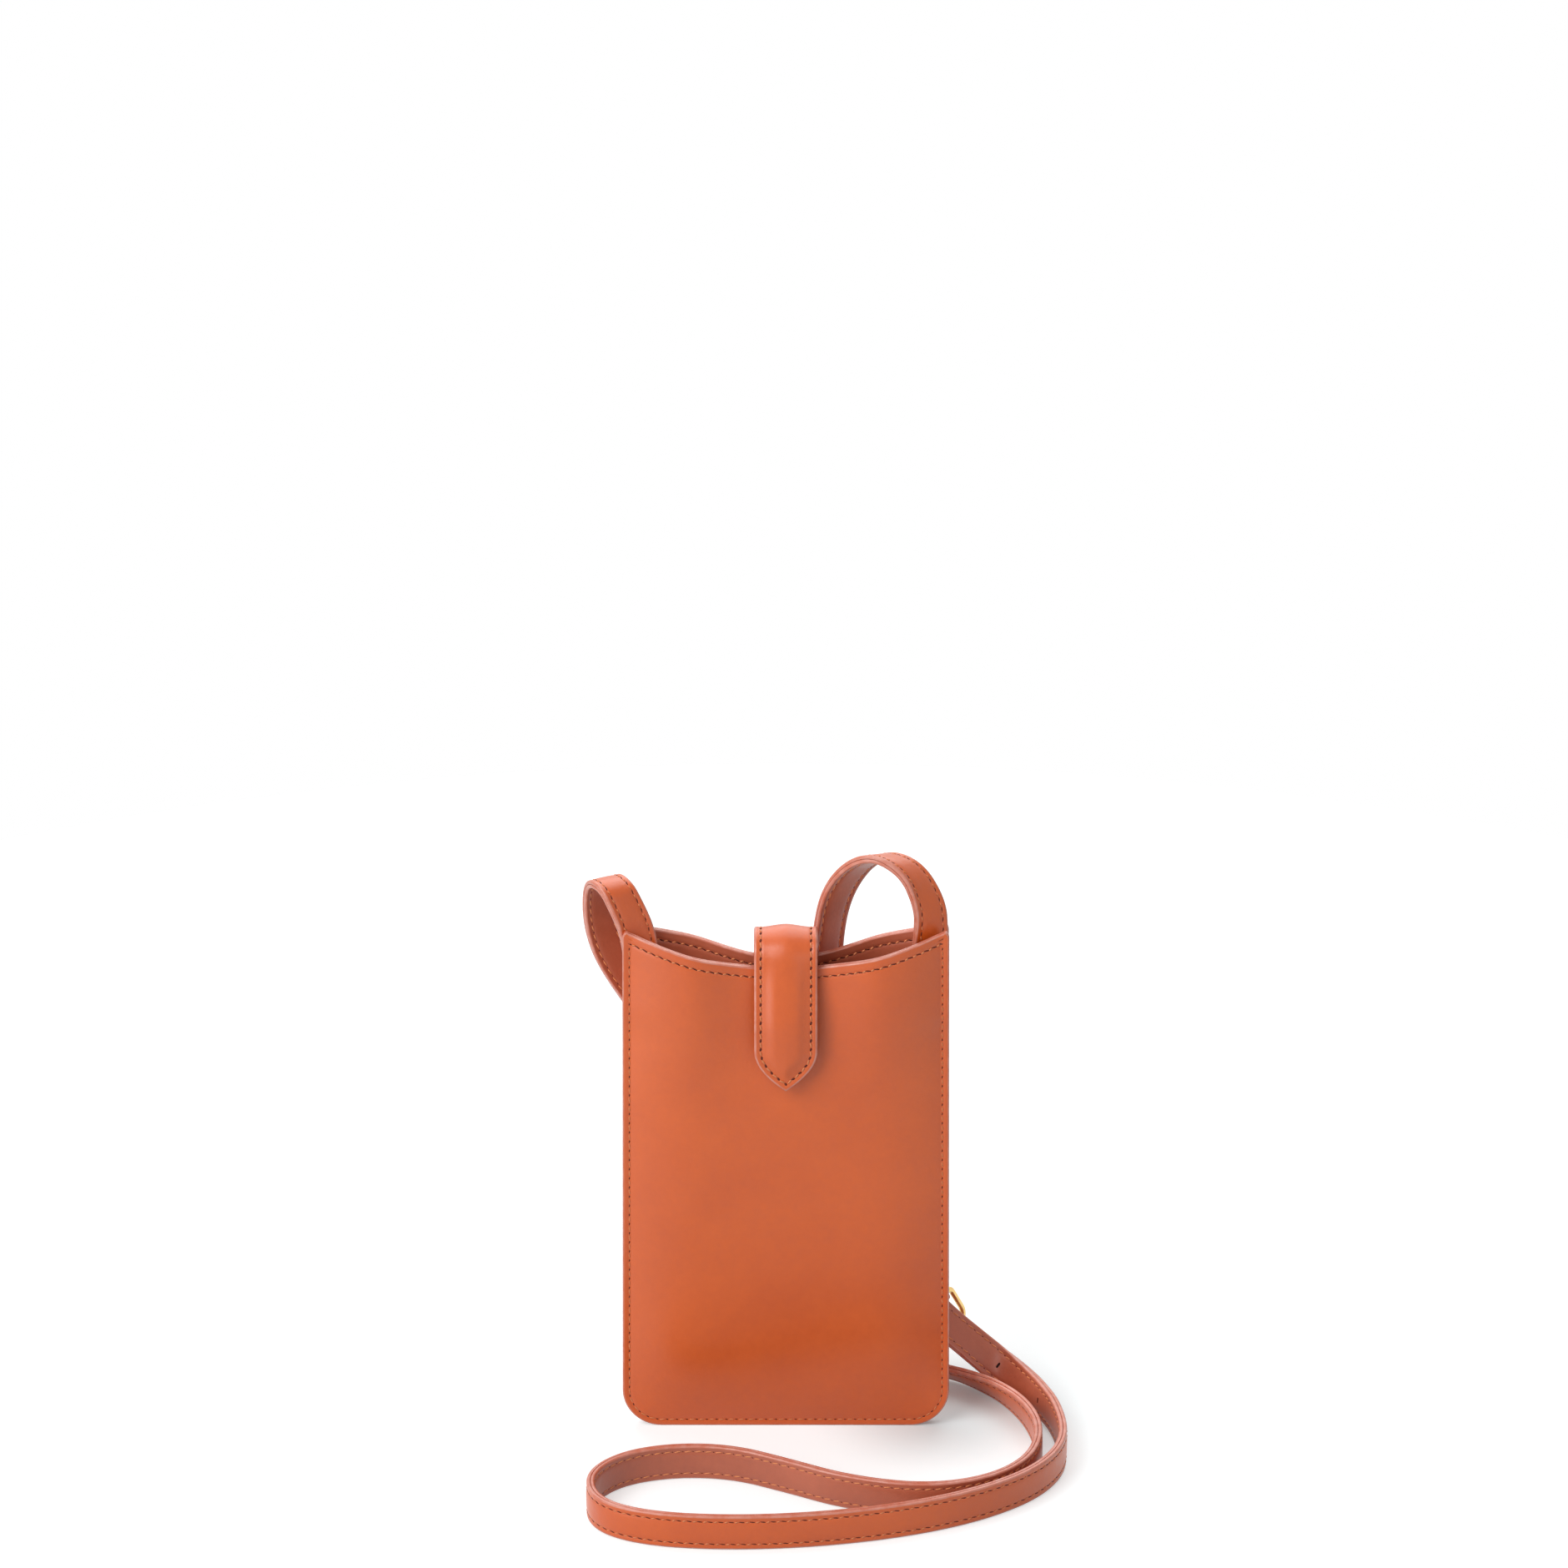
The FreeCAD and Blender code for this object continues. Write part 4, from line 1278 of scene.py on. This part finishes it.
@dataclass
class BuckleAxes:
    """The buckle's place: along the strap, out of its outer face and across it."""

    tail_middle: Vector = field(default_factory=lambda: Vector((48.2, 30.0, 28.8)))
    strap_thickness: float = 2.7
    tail_gap: float = 0.3

    def __post_init__(self) -> None:
        """Squares the axes and finds the middle of the buckle strap under the tail."""
        self.along = Vector((0.653, 0.053, -0.755)).normalized()
        facing = Vector((-0.45, 0.77, -0.43))
        self.facing = (facing - self.along * facing.dot(self.along)).normalized()
        self.across = self.along.cross(self.facing)
        self.origin = self.tail_middle - self.facing * (self.strap_thickness + self.tail_gap)

    def at(self, u: float, n: float, v: float) -> Vector:
        """Point given along the strap, out of its face and across it."""
        return self.origin + self.along * u + self.facing * n + self.across * v


@dataclass
class StrapLeather:
    """Cross-section of a strap: two layers glued back to back, sewn along both edges."""

    width: float = 11.8
    layer: float = 1.3
    glue_gap: float = 0.1
    edge_radius: float = 0.6
    inner_radius: float = 0.16
    row: float = 1.95
    groove_depth: float = 0.17
    groove_width: float = 0.5
    swell: float = 0.10
    swell_run: float = 2.4
    stitch_sink: float = 0.8

    def section(self, sign: int) -> list[tuple[float, float, bool]]:
        """Closed section of one layer.

        Args:
            sign: 1 for the outer layer, -1 for the lining.

        Returns:
            Distance across, height and whether the stretch to the next point is painted edge.
        """
        half = self.width / 2
        low = self.glue_gap / 2
        high = low + self.layer
        edge = [(half - inset, low + drop) for inset, drop in reversed(rounded_edge(self.inner_radius, 2))]
        edge += [(half - inset, high - drop) for inset, drop in rounded_edge(self.edge_radius)]
        face = edge[-1:]
        for inset in (0.95, 1.3, 1.6, self.row, 2.3, 2.65, 3.1, 3.8, 4.8):
            dent = self.groove_depth * ripple(inset - self.row, self.groove_width)
            rise = self.swell * smooth((inset - self.row) / self.swell_run)
            face.append((half - inset, high + rise - dent))
        right = [(v, n, True) for v, n in edge[:-1]] + [(v, n, False) for v, n in face]
        left = [(-v, n, False) for v, n in reversed(face[1:])]
        left += [(-v, n, True) for v, n in reversed(edge[1:])] + [(-edge[0][0], edge[0][1], False)]
        return [(v, sign * n, painted) for v, n, painted in right + left]

    def sweep(self, draft: Draft, stations: Sequence[Station], sign: int, face: Skin,
              shares: Sequence[float] = ()) -> None:
        """Adds one layer along a line of stations.

        Args:
            draft: mesh that takes it.
            stations: the places along the strap.
            sign: 1 for the outer layer, -1 for the lining.
            face: finish of its face.
            shares: shares of the full width at the stations, for a rounded end.
        """
        section = self.section(sign)
        rings = []
        for station, share in zip(stations, shares or [1.0] * len(stations)):
            rings.append([station.at(v * share, n) for v, n, _ in section])
        start = len(draft.points)
        draft.bridge(rings, lambda i, j: Skin.EDGE if section[j][2] else face)
        end = len(draft.points)
        draft.face(range(start, start + len(section)), Skin.EDGE)
        draft.face(range(end - len(section), end), Skin.EDGE)

    def rows(self, draft: Draft, stations: Sequence[Station], sign: int, kind: StitchKind) -> int:
        """Sews both rows on one face along a line of stations.

        Args:
            draft: mesh that takes the stitches.
            stations: the places along the strap.
            sign: 1 for the outer face, -1 for the lining's.
            kind: how the rows look.

        Returns:
            The number of stitches.
        """
        height = sign * (self.glue_gap / 2 + self.layer - self.groove_depth * self.stitch_sink)
        count = 0
        for side in (-1, 1):
            across = side * (self.width / 2 - self.row)
            points = [s.at(across, height) for s in stations]
            count += sew(draft, points, [s.out * sign for s in stations], kind)
        return count


@dataclass
class Cutter:
    """A round-ended slot that is punched through leather."""

    middle: Vector
    axis: Vector
    along: Vector
    width: float
    length: float
    depth: float = 8.0

    def build(self) -> Piece:
        """Makes the closed form to punch with.

        Returns:
            The form.
        """
        axis = self.axis.normalized()
        along = (self.along - axis * self.along.dot(axis)).normalized()
        across = axis.cross(along)
        radius = self.width / 2
        run = max(self.length / 2 - radius, 0.0)
        ring = []
        turns = 24
        for i in range(turns):
            a = math.tau * (i + 0.5) / turns
            reach = math.copysign(run, math.cos(a)) + radius * math.cos(a)
            ring.append(along * reach + across * radius * math.sin(a))
        draft = Draft()
        ends = [[self.middle + p + axis * self.depth / 2 * end for p in ring] for end in (-1, 1)]
        # The punch's faces become the hole's walls, which take the painted shadow.
        draft.bridge(ends, lambda i, j: Skin.HOLE_SHADE)
        draft.face(range(turns), Skin.HOLE_SHADE)
        draft.face(range(turns, 2 * turns), Skin.HOLE_SHADE)
        return draft.make("punch")


def punch(piece: Piece, cutters: Sequence[Cutter]) -> None:
    """Punches holes through a piece.

    Args:
        piece: the leather.
        cutters: what is punched out of it.
    """
    for cutter in cutters:
        tool = cutter.build()
        cut = piece.modifiers.new("punch", "BOOLEAN")
        cut.operation = "DIFFERENCE"
        cut.solver = "EXACT"
        cut.object = tool
        evaluated = piece.evaluated_get(bpy.context.evaluated_depsgraph_get())
        mesh = bpy.data.meshes.new_from_object(evaluated)
        piece.modifiers.remove(cut)
        old = piece.data
        piece.data = mesh
        bpy.data.meshes.remove(old)
        bpy.data.objects.remove(tool)
    shape = bmesh.new()
    shape.from_mesh(piece.data)
    for edge in shape.edges:
        if len({face.material_index == Skin.HOLE_SHADE for face in edge.link_faces}) > 1:
            edge.smooth = False
    shape.to_mesh(piece.data)
    shape.free()


def join(name: str, pieces: Sequence[Piece]) -> Piece:
    """Joins pieces with the same finishes into one.

    Args:
        name: the joined piece's name.
        pieces: the pieces, which it takes up.

    Returns:
        The joined piece.
    """
    shape = bmesh.new()
    for piece in pieces:
        shape.from_mesh(piece.data)
    mesh = bpy.data.meshes.new(name)
    shape.to_mesh(mesh)
    shape.free()
    for finish in LEATHER_SET:
        mesh.materials.append(finish.material())
    for piece in pieces:
        bpy.data.objects.remove(piece)
    joined = bpy.data.objects.new(name, mesh)
    bpy.context.scene.collection.objects.link(joined)
    return joined


@dataclass
class Straps:
    """The two straps: a long one with holes and a tail, and a short one that carries the buckle."""

    leather: StrapLeather = field(default_factory=StrapLeather)
    axes: BuckleAxes = field(default_factory=BuckleAxes)
    steps: int = 14
    fold_start: float = 8.0
    bar_radius: float = 1.15
    turnback_run: float = 5.0
    turnback_length: float = 26.0
    fold_steps: int = 16
    turnback_steps: int = 12
    tip_steps: int = 12
    least_tip_share: float = 0.1
    # Room kept at the tip for its own places, in radii, and without stitches, in widths.
    tip_room: float = 1.05
    bare_tip: float = 0.42
    hole_pitch: float = 26.0
    hole_size: tuple[float, float] = (0.84, 2.0)
    punch_depth: float = 3.6
    prong_hole: tuple[float, float] = (3.6, 7.5)
    prong_hole_width: float = 2.3
    prong_slot_place: tuple[float, float] = (1.2, -1.1)
    prong_slot_size: tuple[float, float] = (3.4, 7.4)
    exit_height: float = 172.0
    exit_reach: float = 46.8

    def stations(self, route: Sequence[tuple[Point, Point]], tail: Sequence[tuple[float, float]],
                 start: Vector, wide: Vector) -> list[Station]:
        """Places along a strap's spline.

        Args:
            route: control points with the strap's width direction at each.
            tail: distances along the buckle's axis, and out of its face, of the last control points.
            start: where those distances count from.
            wide: width direction of the last control points.

        Returns:
            The places from the mouth to the strap's end.
        """
        points = [Vector(p) for p, _ in route]
        points += [start + self.axes.along * u + self.axes.facing * n for u, n in tail]
        widths = [Vector(w) for _, w in route] + [wide] * len(tail)
        middles = nurbs_samples(points, self.steps)
        turns = nurbs_samples(widths, self.steps)
        made = []
        for i, middle in enumerate(middles):
            heading = (middles[min(i + 1, len(middles) - 1)] - middles[max(i - 1, 0)]).normalized()
            across = (turns[i] - heading * turns[i].dot(heading)).normalized()
            made.append(Station(middle, across, across.cross(heading)))
        return made

    def with_tip(self, stations: list[Station]) -> tuple[list[Station], list[float]]:
        """Ends a strap's straight tail in a half circle.

        Args:
            stations: places along the strap.

        Returns:
            The places with closer ones at the tip, and the share of the full width at each.
        """
        end = stations[-1]
        heading = end.out.cross(end.wide)
        radius = self.leather.width / 2
        kept = [s for s in stations if (s.middle - end.middle).length > radius * self.tip_room]
        shares = [1.0] * len(kept)
        for i in range(self.tip_steps + 1):
            a = math.pi / 2 * i / self.tip_steps
            kept.append(Station(end.middle - heading * radius * (1 - math.sin(a)), end.wide, end.out))
            shares.append(max(math.cos(a), self.least_tip_share))
        return kept, shares

    def fold(self) -> list[Station]:
        """Lays the end of the short strap's outer leather round the bar and back under itself.

        Returns:
            The places along it.
        """
        axes = self.axes
        core = self.bar_radius - self.leather.glue_gap / 2
        bar = self.leather.glue_gap / 2 - self.bar_radius
        under = -self.leather.layer - self.leather.glue_gap * 1.5
        made = []
        for i in range(1, self.fold_steps + 1):
            a = math.pi * i / self.fold_steps
            out = axes.facing * math.cos(a) + axes.along * math.sin(a)
            made.append(Station(axes.at(0.0, bar, 0.0) + out * core, axes.across, out))
        lowest = bar - core
        for i in range(1, self.turnback_steps + 1):
            u = -self.turnback_length * i / self.turnback_steps
            n = lowest + (under - lowest) * smooth(-u / self.turnback_run)
            made.append(Station(axes.at(u, n, 0.0), axes.across, -axes.facing))
        return made

    def long_strap(self) -> Piece:
        """Makes the long strap, whose tail lies on the short one.

        Returns:
            The piece.
        """
        leather = self.leather
        found = self.stations(RIGHT_ROUTE, RIGHT_TAIL, self.axes.tail_middle, -self.axes.across)
        tipped, shares = self.with_tip(found)
        draft = Draft()
        leather.sweep(draft, tipped, 1, Skin.FACE, shares)
        leather.sweep(draft, tipped, -1, Skin.LINING, shares)
        hide = draft.make("long_strap_layers")
        slot_middle = sum(self.prong_hole) / 2
        slot_place = self.axes.at(slot_middle, self.axes.strap_thickness + self.axes.tail_gap, 0.0)
        cutters = [Cutter(slot_place, self.axes.facing, self.axes.along, self.prong_hole_width,
                          self.prong_hole[1] - self.prong_hole[0], self.punch_depth)]
        middles = [s.middle for s in found]
        length = line_length(middles)
        tail_length = -RIGHT_TAIL[-1][0]
        for step in (2, 1, -1, -2):
            distance = length - (tail_length + slot_middle) - step * self.hole_pitch
            place, i, _ = walk(middles, [distance])[0]
            cutters.append(Cutter(place, found[i].out, found[i].wide, *self.hole_size, self.punch_depth))
        punch(hide, cutters)
        thread = Draft()
        bare = leather.width * self.bare_tip
        sewn = [s for s in tipped if (s.middle - found[-1].middle).length > bare]
        stitches = leather.rows(thread, sewn, 1, STRAP_ROW)
        stitches += leather.rows(thread, sewn, -1, STRAP_UNDER)
        strap = join("long_strap_leather", [hide, thread.make("long_strap_stitches")])
        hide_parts("long_strap_outer", "long_strap_lining")
        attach(strap, "pouch")
        LOG.info("long strap: %.0f mm, %d stitches", length, stitches)
        return strap

    def short_strap(self) -> Piece:
        """Makes the short strap, folded round the buckle's bar.


        Returns:
            The piece.
        """
        leather = self.leather
        found = self.stations(LEFT_ROUTE, LEFT_TAIL, self.axes.origin, self.axes.across)
        folded = found + self.fold()
        draft = Draft()
        leather.sweep(draft, folded, 1, Skin.FACE)
        hide = draft.make("short_strap_outer_layer")
        punch(hide, [Cutter(self.axes.at(*self.prong_slot_place, 0.0), self.axes.facing, self.axes.along,
                            *self.prong_slot_size)])
        draft = Draft()
        flat = [s for s in found if (s.middle - self.axes.origin).length > self.fold_start]
        leather.sweep(draft, flat, -1, Skin.LINING)
        stitches = leather.rows(draft, flat, 1, STRAP_ROW)
        bare = [s for s in found if (s.middle - self.axes.origin).length > self.turnback_length]
        stitches += leather.rows(draft, bare, -1, STRAP_UNDER)
        stitches += leather.rows(draft, folded[1 - self.turnback_steps:], 1, STRAP_UNDER)
        strap = join("short_strap_leather", [hide, draft.make("short_strap_inner_layer")])
        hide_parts("buckle_strap_outer", "buckle_strap_lining")
        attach(strap, "pouch")
        return strap


@dataclass
class Keepers:
    """The two leather loops that hold the tail down on the short strap."""

    axes: BuckleAxes = field(default_factory=BuckleAxes)
    length: float = 7.0
    wall: float = 1.2
    fit: float = 0.35
    inner_half_width: float = 5.9
    edge_radius: float = 0.4
    corner_steps: int = 6
    # Insets and depths of the line that is creased along each edge.
    crease: tuple[tuple[float, float], ...] = ((0.9, 0.0), (1.15, 0.12), (1.4, 0.0))
    # Distance of the inner face from the line that the loop is drawn round.
    inner_gap: float = 0.02
    strap_top: float = 4.35
    fixed_low: float = -2.75
    sliding_low: float = -1.35
    fixed_place: float = -9.0
    sliding_place: float = -40.0

    def loop(self, name: str, node: str, body: str, place: float, low: float) -> Piece:
        """Makes one loop.

        Args:
            name: the piece's name.
            node: CAD node that it stands for.
            body: CAD body that it rides on.
            place: its middle along the strap.
            low: height of what it goes under.

        Returns:
            The piece.
        """
        half = self.inner_half_width + self.fit
        bottom = low - self.fit
        top = self.strap_top + self.fit
        corners = ((half, top, 0.0), (-half, top, 90.0), (-half, bottom, 180.0), (half, bottom, 270.0))
        path = []
        for v, n, start in corners:
            for i in range(self.corner_steps + 1):
                path.append((v, n, math.radians(start + 90.0 * i / self.corner_steps)))
        run = self.length / 2
        edge = [(run - inset, self.wall - drop) for inset, drop in rounded_edge(self.edge_radius, 3)]
        face = edge[-1:] + [(run - inset, self.wall - dent) for inset, dent in self.crease]
        section = [(u, r, Skin.EDGE) for u, r in edge[:-1]] + [(u, r, Skin.FACE) for u, r in face]
        section += [(-u, r, Skin.FACE) for u, r in reversed(face[1:])]
        section += [(-u, r, Skin.EDGE) for u, r in reversed(edge)]
        section += [(-run, self.inner_gap, Skin.LINING), (run, self.inner_gap, Skin.EDGE)]
        rings = []
        for v, n, a in path:
            rings.append([self.axes.at(place + u, n + math.sin(a) * r, v + math.cos(a) * r)
                          for u, r, _ in section])
        draft = Draft()
        draft.bridge(rings, lambda i, j: section[j][2], looped=True)
        loop = draft.make(name)
        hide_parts(node)
        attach(loop, body)
        LOG.info("%s: %.1f mm long", name, self.length)
        return loop

    def build(self) -> list[Piece]:
        """Makes both loops.

        Returns:
            The two pieces.
        """
        return [self.loop("fixed_keeper_leather", "fixed_keeper", "pouch",
                          self.fixed_place, self.fixed_low),
                self.loop("sliding_keeper_leather", "sliding_keeper", "keeper",
                          self.sliding_place, self.sliding_low)]


@dataclass
class Hardware:
    """The buckle and the magnetic snap, whose CAD solids have their real shapes."""

    finishes: dict[str, Finish] = field(default_factory=lambda: {
        "buckle_frame": BRASS,
        "buckle_prong": BRASS,
        "snap_base": NICKEL,
        "snap_cap": NICKEL,
        "snap_base_washer": NICKEL,
        "snap_stud": NICKEL,
        "snap_stud_washer": NICKEL,
        "snap_magnet": FERRITE,
    })

    def build(self) -> dict[str, Piece]:
        """Gives each solid its finish.

        Returns:
            The CAD objects by node name.
        """
        dressed = {}
        for name, finish in self.finishes.items():
            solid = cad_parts[name]
            solid.data.materials.clear()
            solid.data.materials.append(finish.material())
            dressed[name] = solid
            LOG.info("%s: %s", name, finish.name)
        return dressed


@dataclass
class Studio:
    """White floor and surround, soft lights and the camera."""

    camera_x: float = -0.6
    camera_y: float = -2270.7
    camera_z: float = 1100.6
    pitch: float = 21.0
    focal_px: float = 9000.0
    image_px: float = 1880.0
    floor_radius: float = 0.62
    floor_colour: str = "#CDD3D4"
    # The floor's glow paints a shadow: lowest beside the pouch's right foot, rising within a few
    # centimetres to the glow further off, which washes out the shadows there.
    painted_shadow_glow: float = 0.14
    floor_white: float = 0.50
    painted_shadow_middle: Point = (0.058, 0.010, 0.0)
    painted_shadow_core: float = 0.010
    painted_shadow_reach: float = 0.056
    ambient: float = 0.24
    aim_height: float = 0.08
    # Each lamp's name, place in metres, side in metres and power in watts.
    lamps: tuple[tuple[str, Point, float, float], ...] = (
        ("key_softbox", (-0.80, -0.74, 1.0), 1.0, 15.0),
        ("side_softbox", (-0.80, -0.66, 0.05), 0.35, 1.7),
        ("back_softbox", (-0.05, 0.62, 1.0), 1.2, 9.6),
        ("fill_softbox", (0.9, -1.3, 0.6), 1.0, 2.6),
    )

    def camera(self) -> None:
        """Sets the camera at the photograph's viewing angle."""
        data = bpy.data.cameras.new("camera")
        data.sensor_width = 36.0
        data.lens = self.focal_px / self.image_px * data.sensor_width
        data.clip_end = 100.0
        camera = bpy.data.objects.new("camera", data)
        camera.location = to_row(Vector((self.camera_x, self.camera_y, self.camera_z)))
        camera.rotation_euler = (math.radians(90.0 - self.pitch), 0.0, 0.0)
        bpy.context.scene.collection.objects.link(camera)
        bpy.context.scene.camera = camera

    def seen(self, tree: Tree) -> Socket:
        """Finds which rays see the white surround.

        Args:
            tree: node tree that takes the nodes.

        Returns:
            Socket that is 1 for camera, glossy and transmission rays and 0 for the rest.
        """
        path = add_node(tree, "ShaderNodeLightPath", {})
        seen = path.outputs["Is Camera Ray"]
        for ray in ("Is Glossy Ray", "Is Transmission Ray"):
            either = add_node(tree, "ShaderNodeMath", {0: seen, 1: path.outputs[ray]}, operation="MAXIMUM")
            seen = either.outputs[0]
        return seen

    def world(self) -> None:
        """Makes the surround white to the eye and soft as a light."""
        world = bpy.data.worlds.new("studio_surround")
        world.use_nodes = True
        bpy.context.scene.world = world
        tree = world.node_tree
        strength = add_node(tree, "ShaderNodeMapRange", {"Value": self.seen(tree), "To Min": self.ambient})
        feed(tree, tree.nodes["Background"],
             {"Color": srgb("#FFFFFF"), "Strength": strength.outputs["Result"]})

    def floor(self) -> None:
        """Makes the floor, which stays white where it is lit and keeps the shadows near the pouch; its glow
        is a painted shadow, lowest beside the pouch's right foot, and rises further off, washing out the
        shadows there.
        """
        turns = 96
        rim = [(self.floor_radius * math.cos(math.tau * i / turns),
                self.floor_radius * math.sin(math.tau * i / turns), 0.0) for i in range(turns)]
        mesh = bpy.data.meshes.new("studio_floor")
        mesh.from_pydata(rim, [], [tuple(range(turns))])
        floor = bpy.data.objects.new("studio_floor", mesh)
        bpy.context.scene.collection.objects.link(floor)
        material = bpy.data.materials.new("paper_floor_white")
        material.use_nodes = True
        tree = material.node_tree
        place = add_node(tree, "ShaderNodeTexCoord", {}).outputs["Object"]
        reach = add_node(tree, "ShaderNodeVectorMath", {0: place, 1: self.painted_shadow_middle},
                         operation="DISTANCE")
        # Painted shadow: the glow is lowest near the pouch's right foot.
        fade = add_node(tree, "ShaderNodeMapRange",
                        {"Value": reach.outputs["Value"],
                         "From Min": self.painted_shadow_core, "From Max": self.painted_shadow_reach,
                         "To Min": self.painted_shadow_glow, "To Max": self.floor_white},
                        interpolation_type="SMOOTHSTEP")
        lift = add_node(tree, "ShaderNodeMath", {0: fade.outputs["Result"], 1: self.seen(tree)},
                        operation="MULTIPLY")
        feed(tree, tree.nodes["Principled BSDF"],
             {"Base Color": srgb(self.floor_colour), "Roughness": 0.9, "Specular IOR Level": 0.1,
              "Emission Color": srgb("#FFFFFF"), "Emission Strength": lift.outputs[0]})
        mesh.materials.append(material)

    def lamp(self, name: str, place: Point, size: float, power: float) -> None:
        """Adds a soft square lamp that faces the pouch.

        Args:
            name: the lamp's name.
            place: where it stands, in metres.
            size: side of the square, in metres.
            power: its power in watts.
        """
        data = bpy.data.lights.new(name, "AREA")
        data.size = size
        data.energy = power
        lamp = bpy.data.objects.new(name, data)
        lamp.location = place
        lamp.visible_camera = False
        aim = Vector((0.0, 0.0, self.aim_height)) - Vector(place)
        lamp.rotation_euler = aim.to_track_quat("-Z", "Y").to_euler()
        bpy.context.scene.collection.objects.link(lamp)

    def build(self) -> None:
        """Sets up the studio."""
        self.camera()
        self.world()
        self.floor()
        for lamp in self.lamps:
            self.lamp(*lamp)
        bpy.context.scene.view_settings.view_transform = "Standard"
        LOG.info("studio: camera, floor and %d lamps", len(self.lamps))


def main() -> None:
    """Builds the studio and each sub-assembly in order."""
    logging.basicConfig(level=logging.INFO, format="%(name)s: %(message)s")
    Studio().build()
    straps = Straps()
    straps.long_strap()
    hardware = Hardware().build()
    keepers = Keepers().build()
    straps.short_strap()
    PouchShell().build()
    SnapTab().build()


if __name__ == "__main__":
    main()
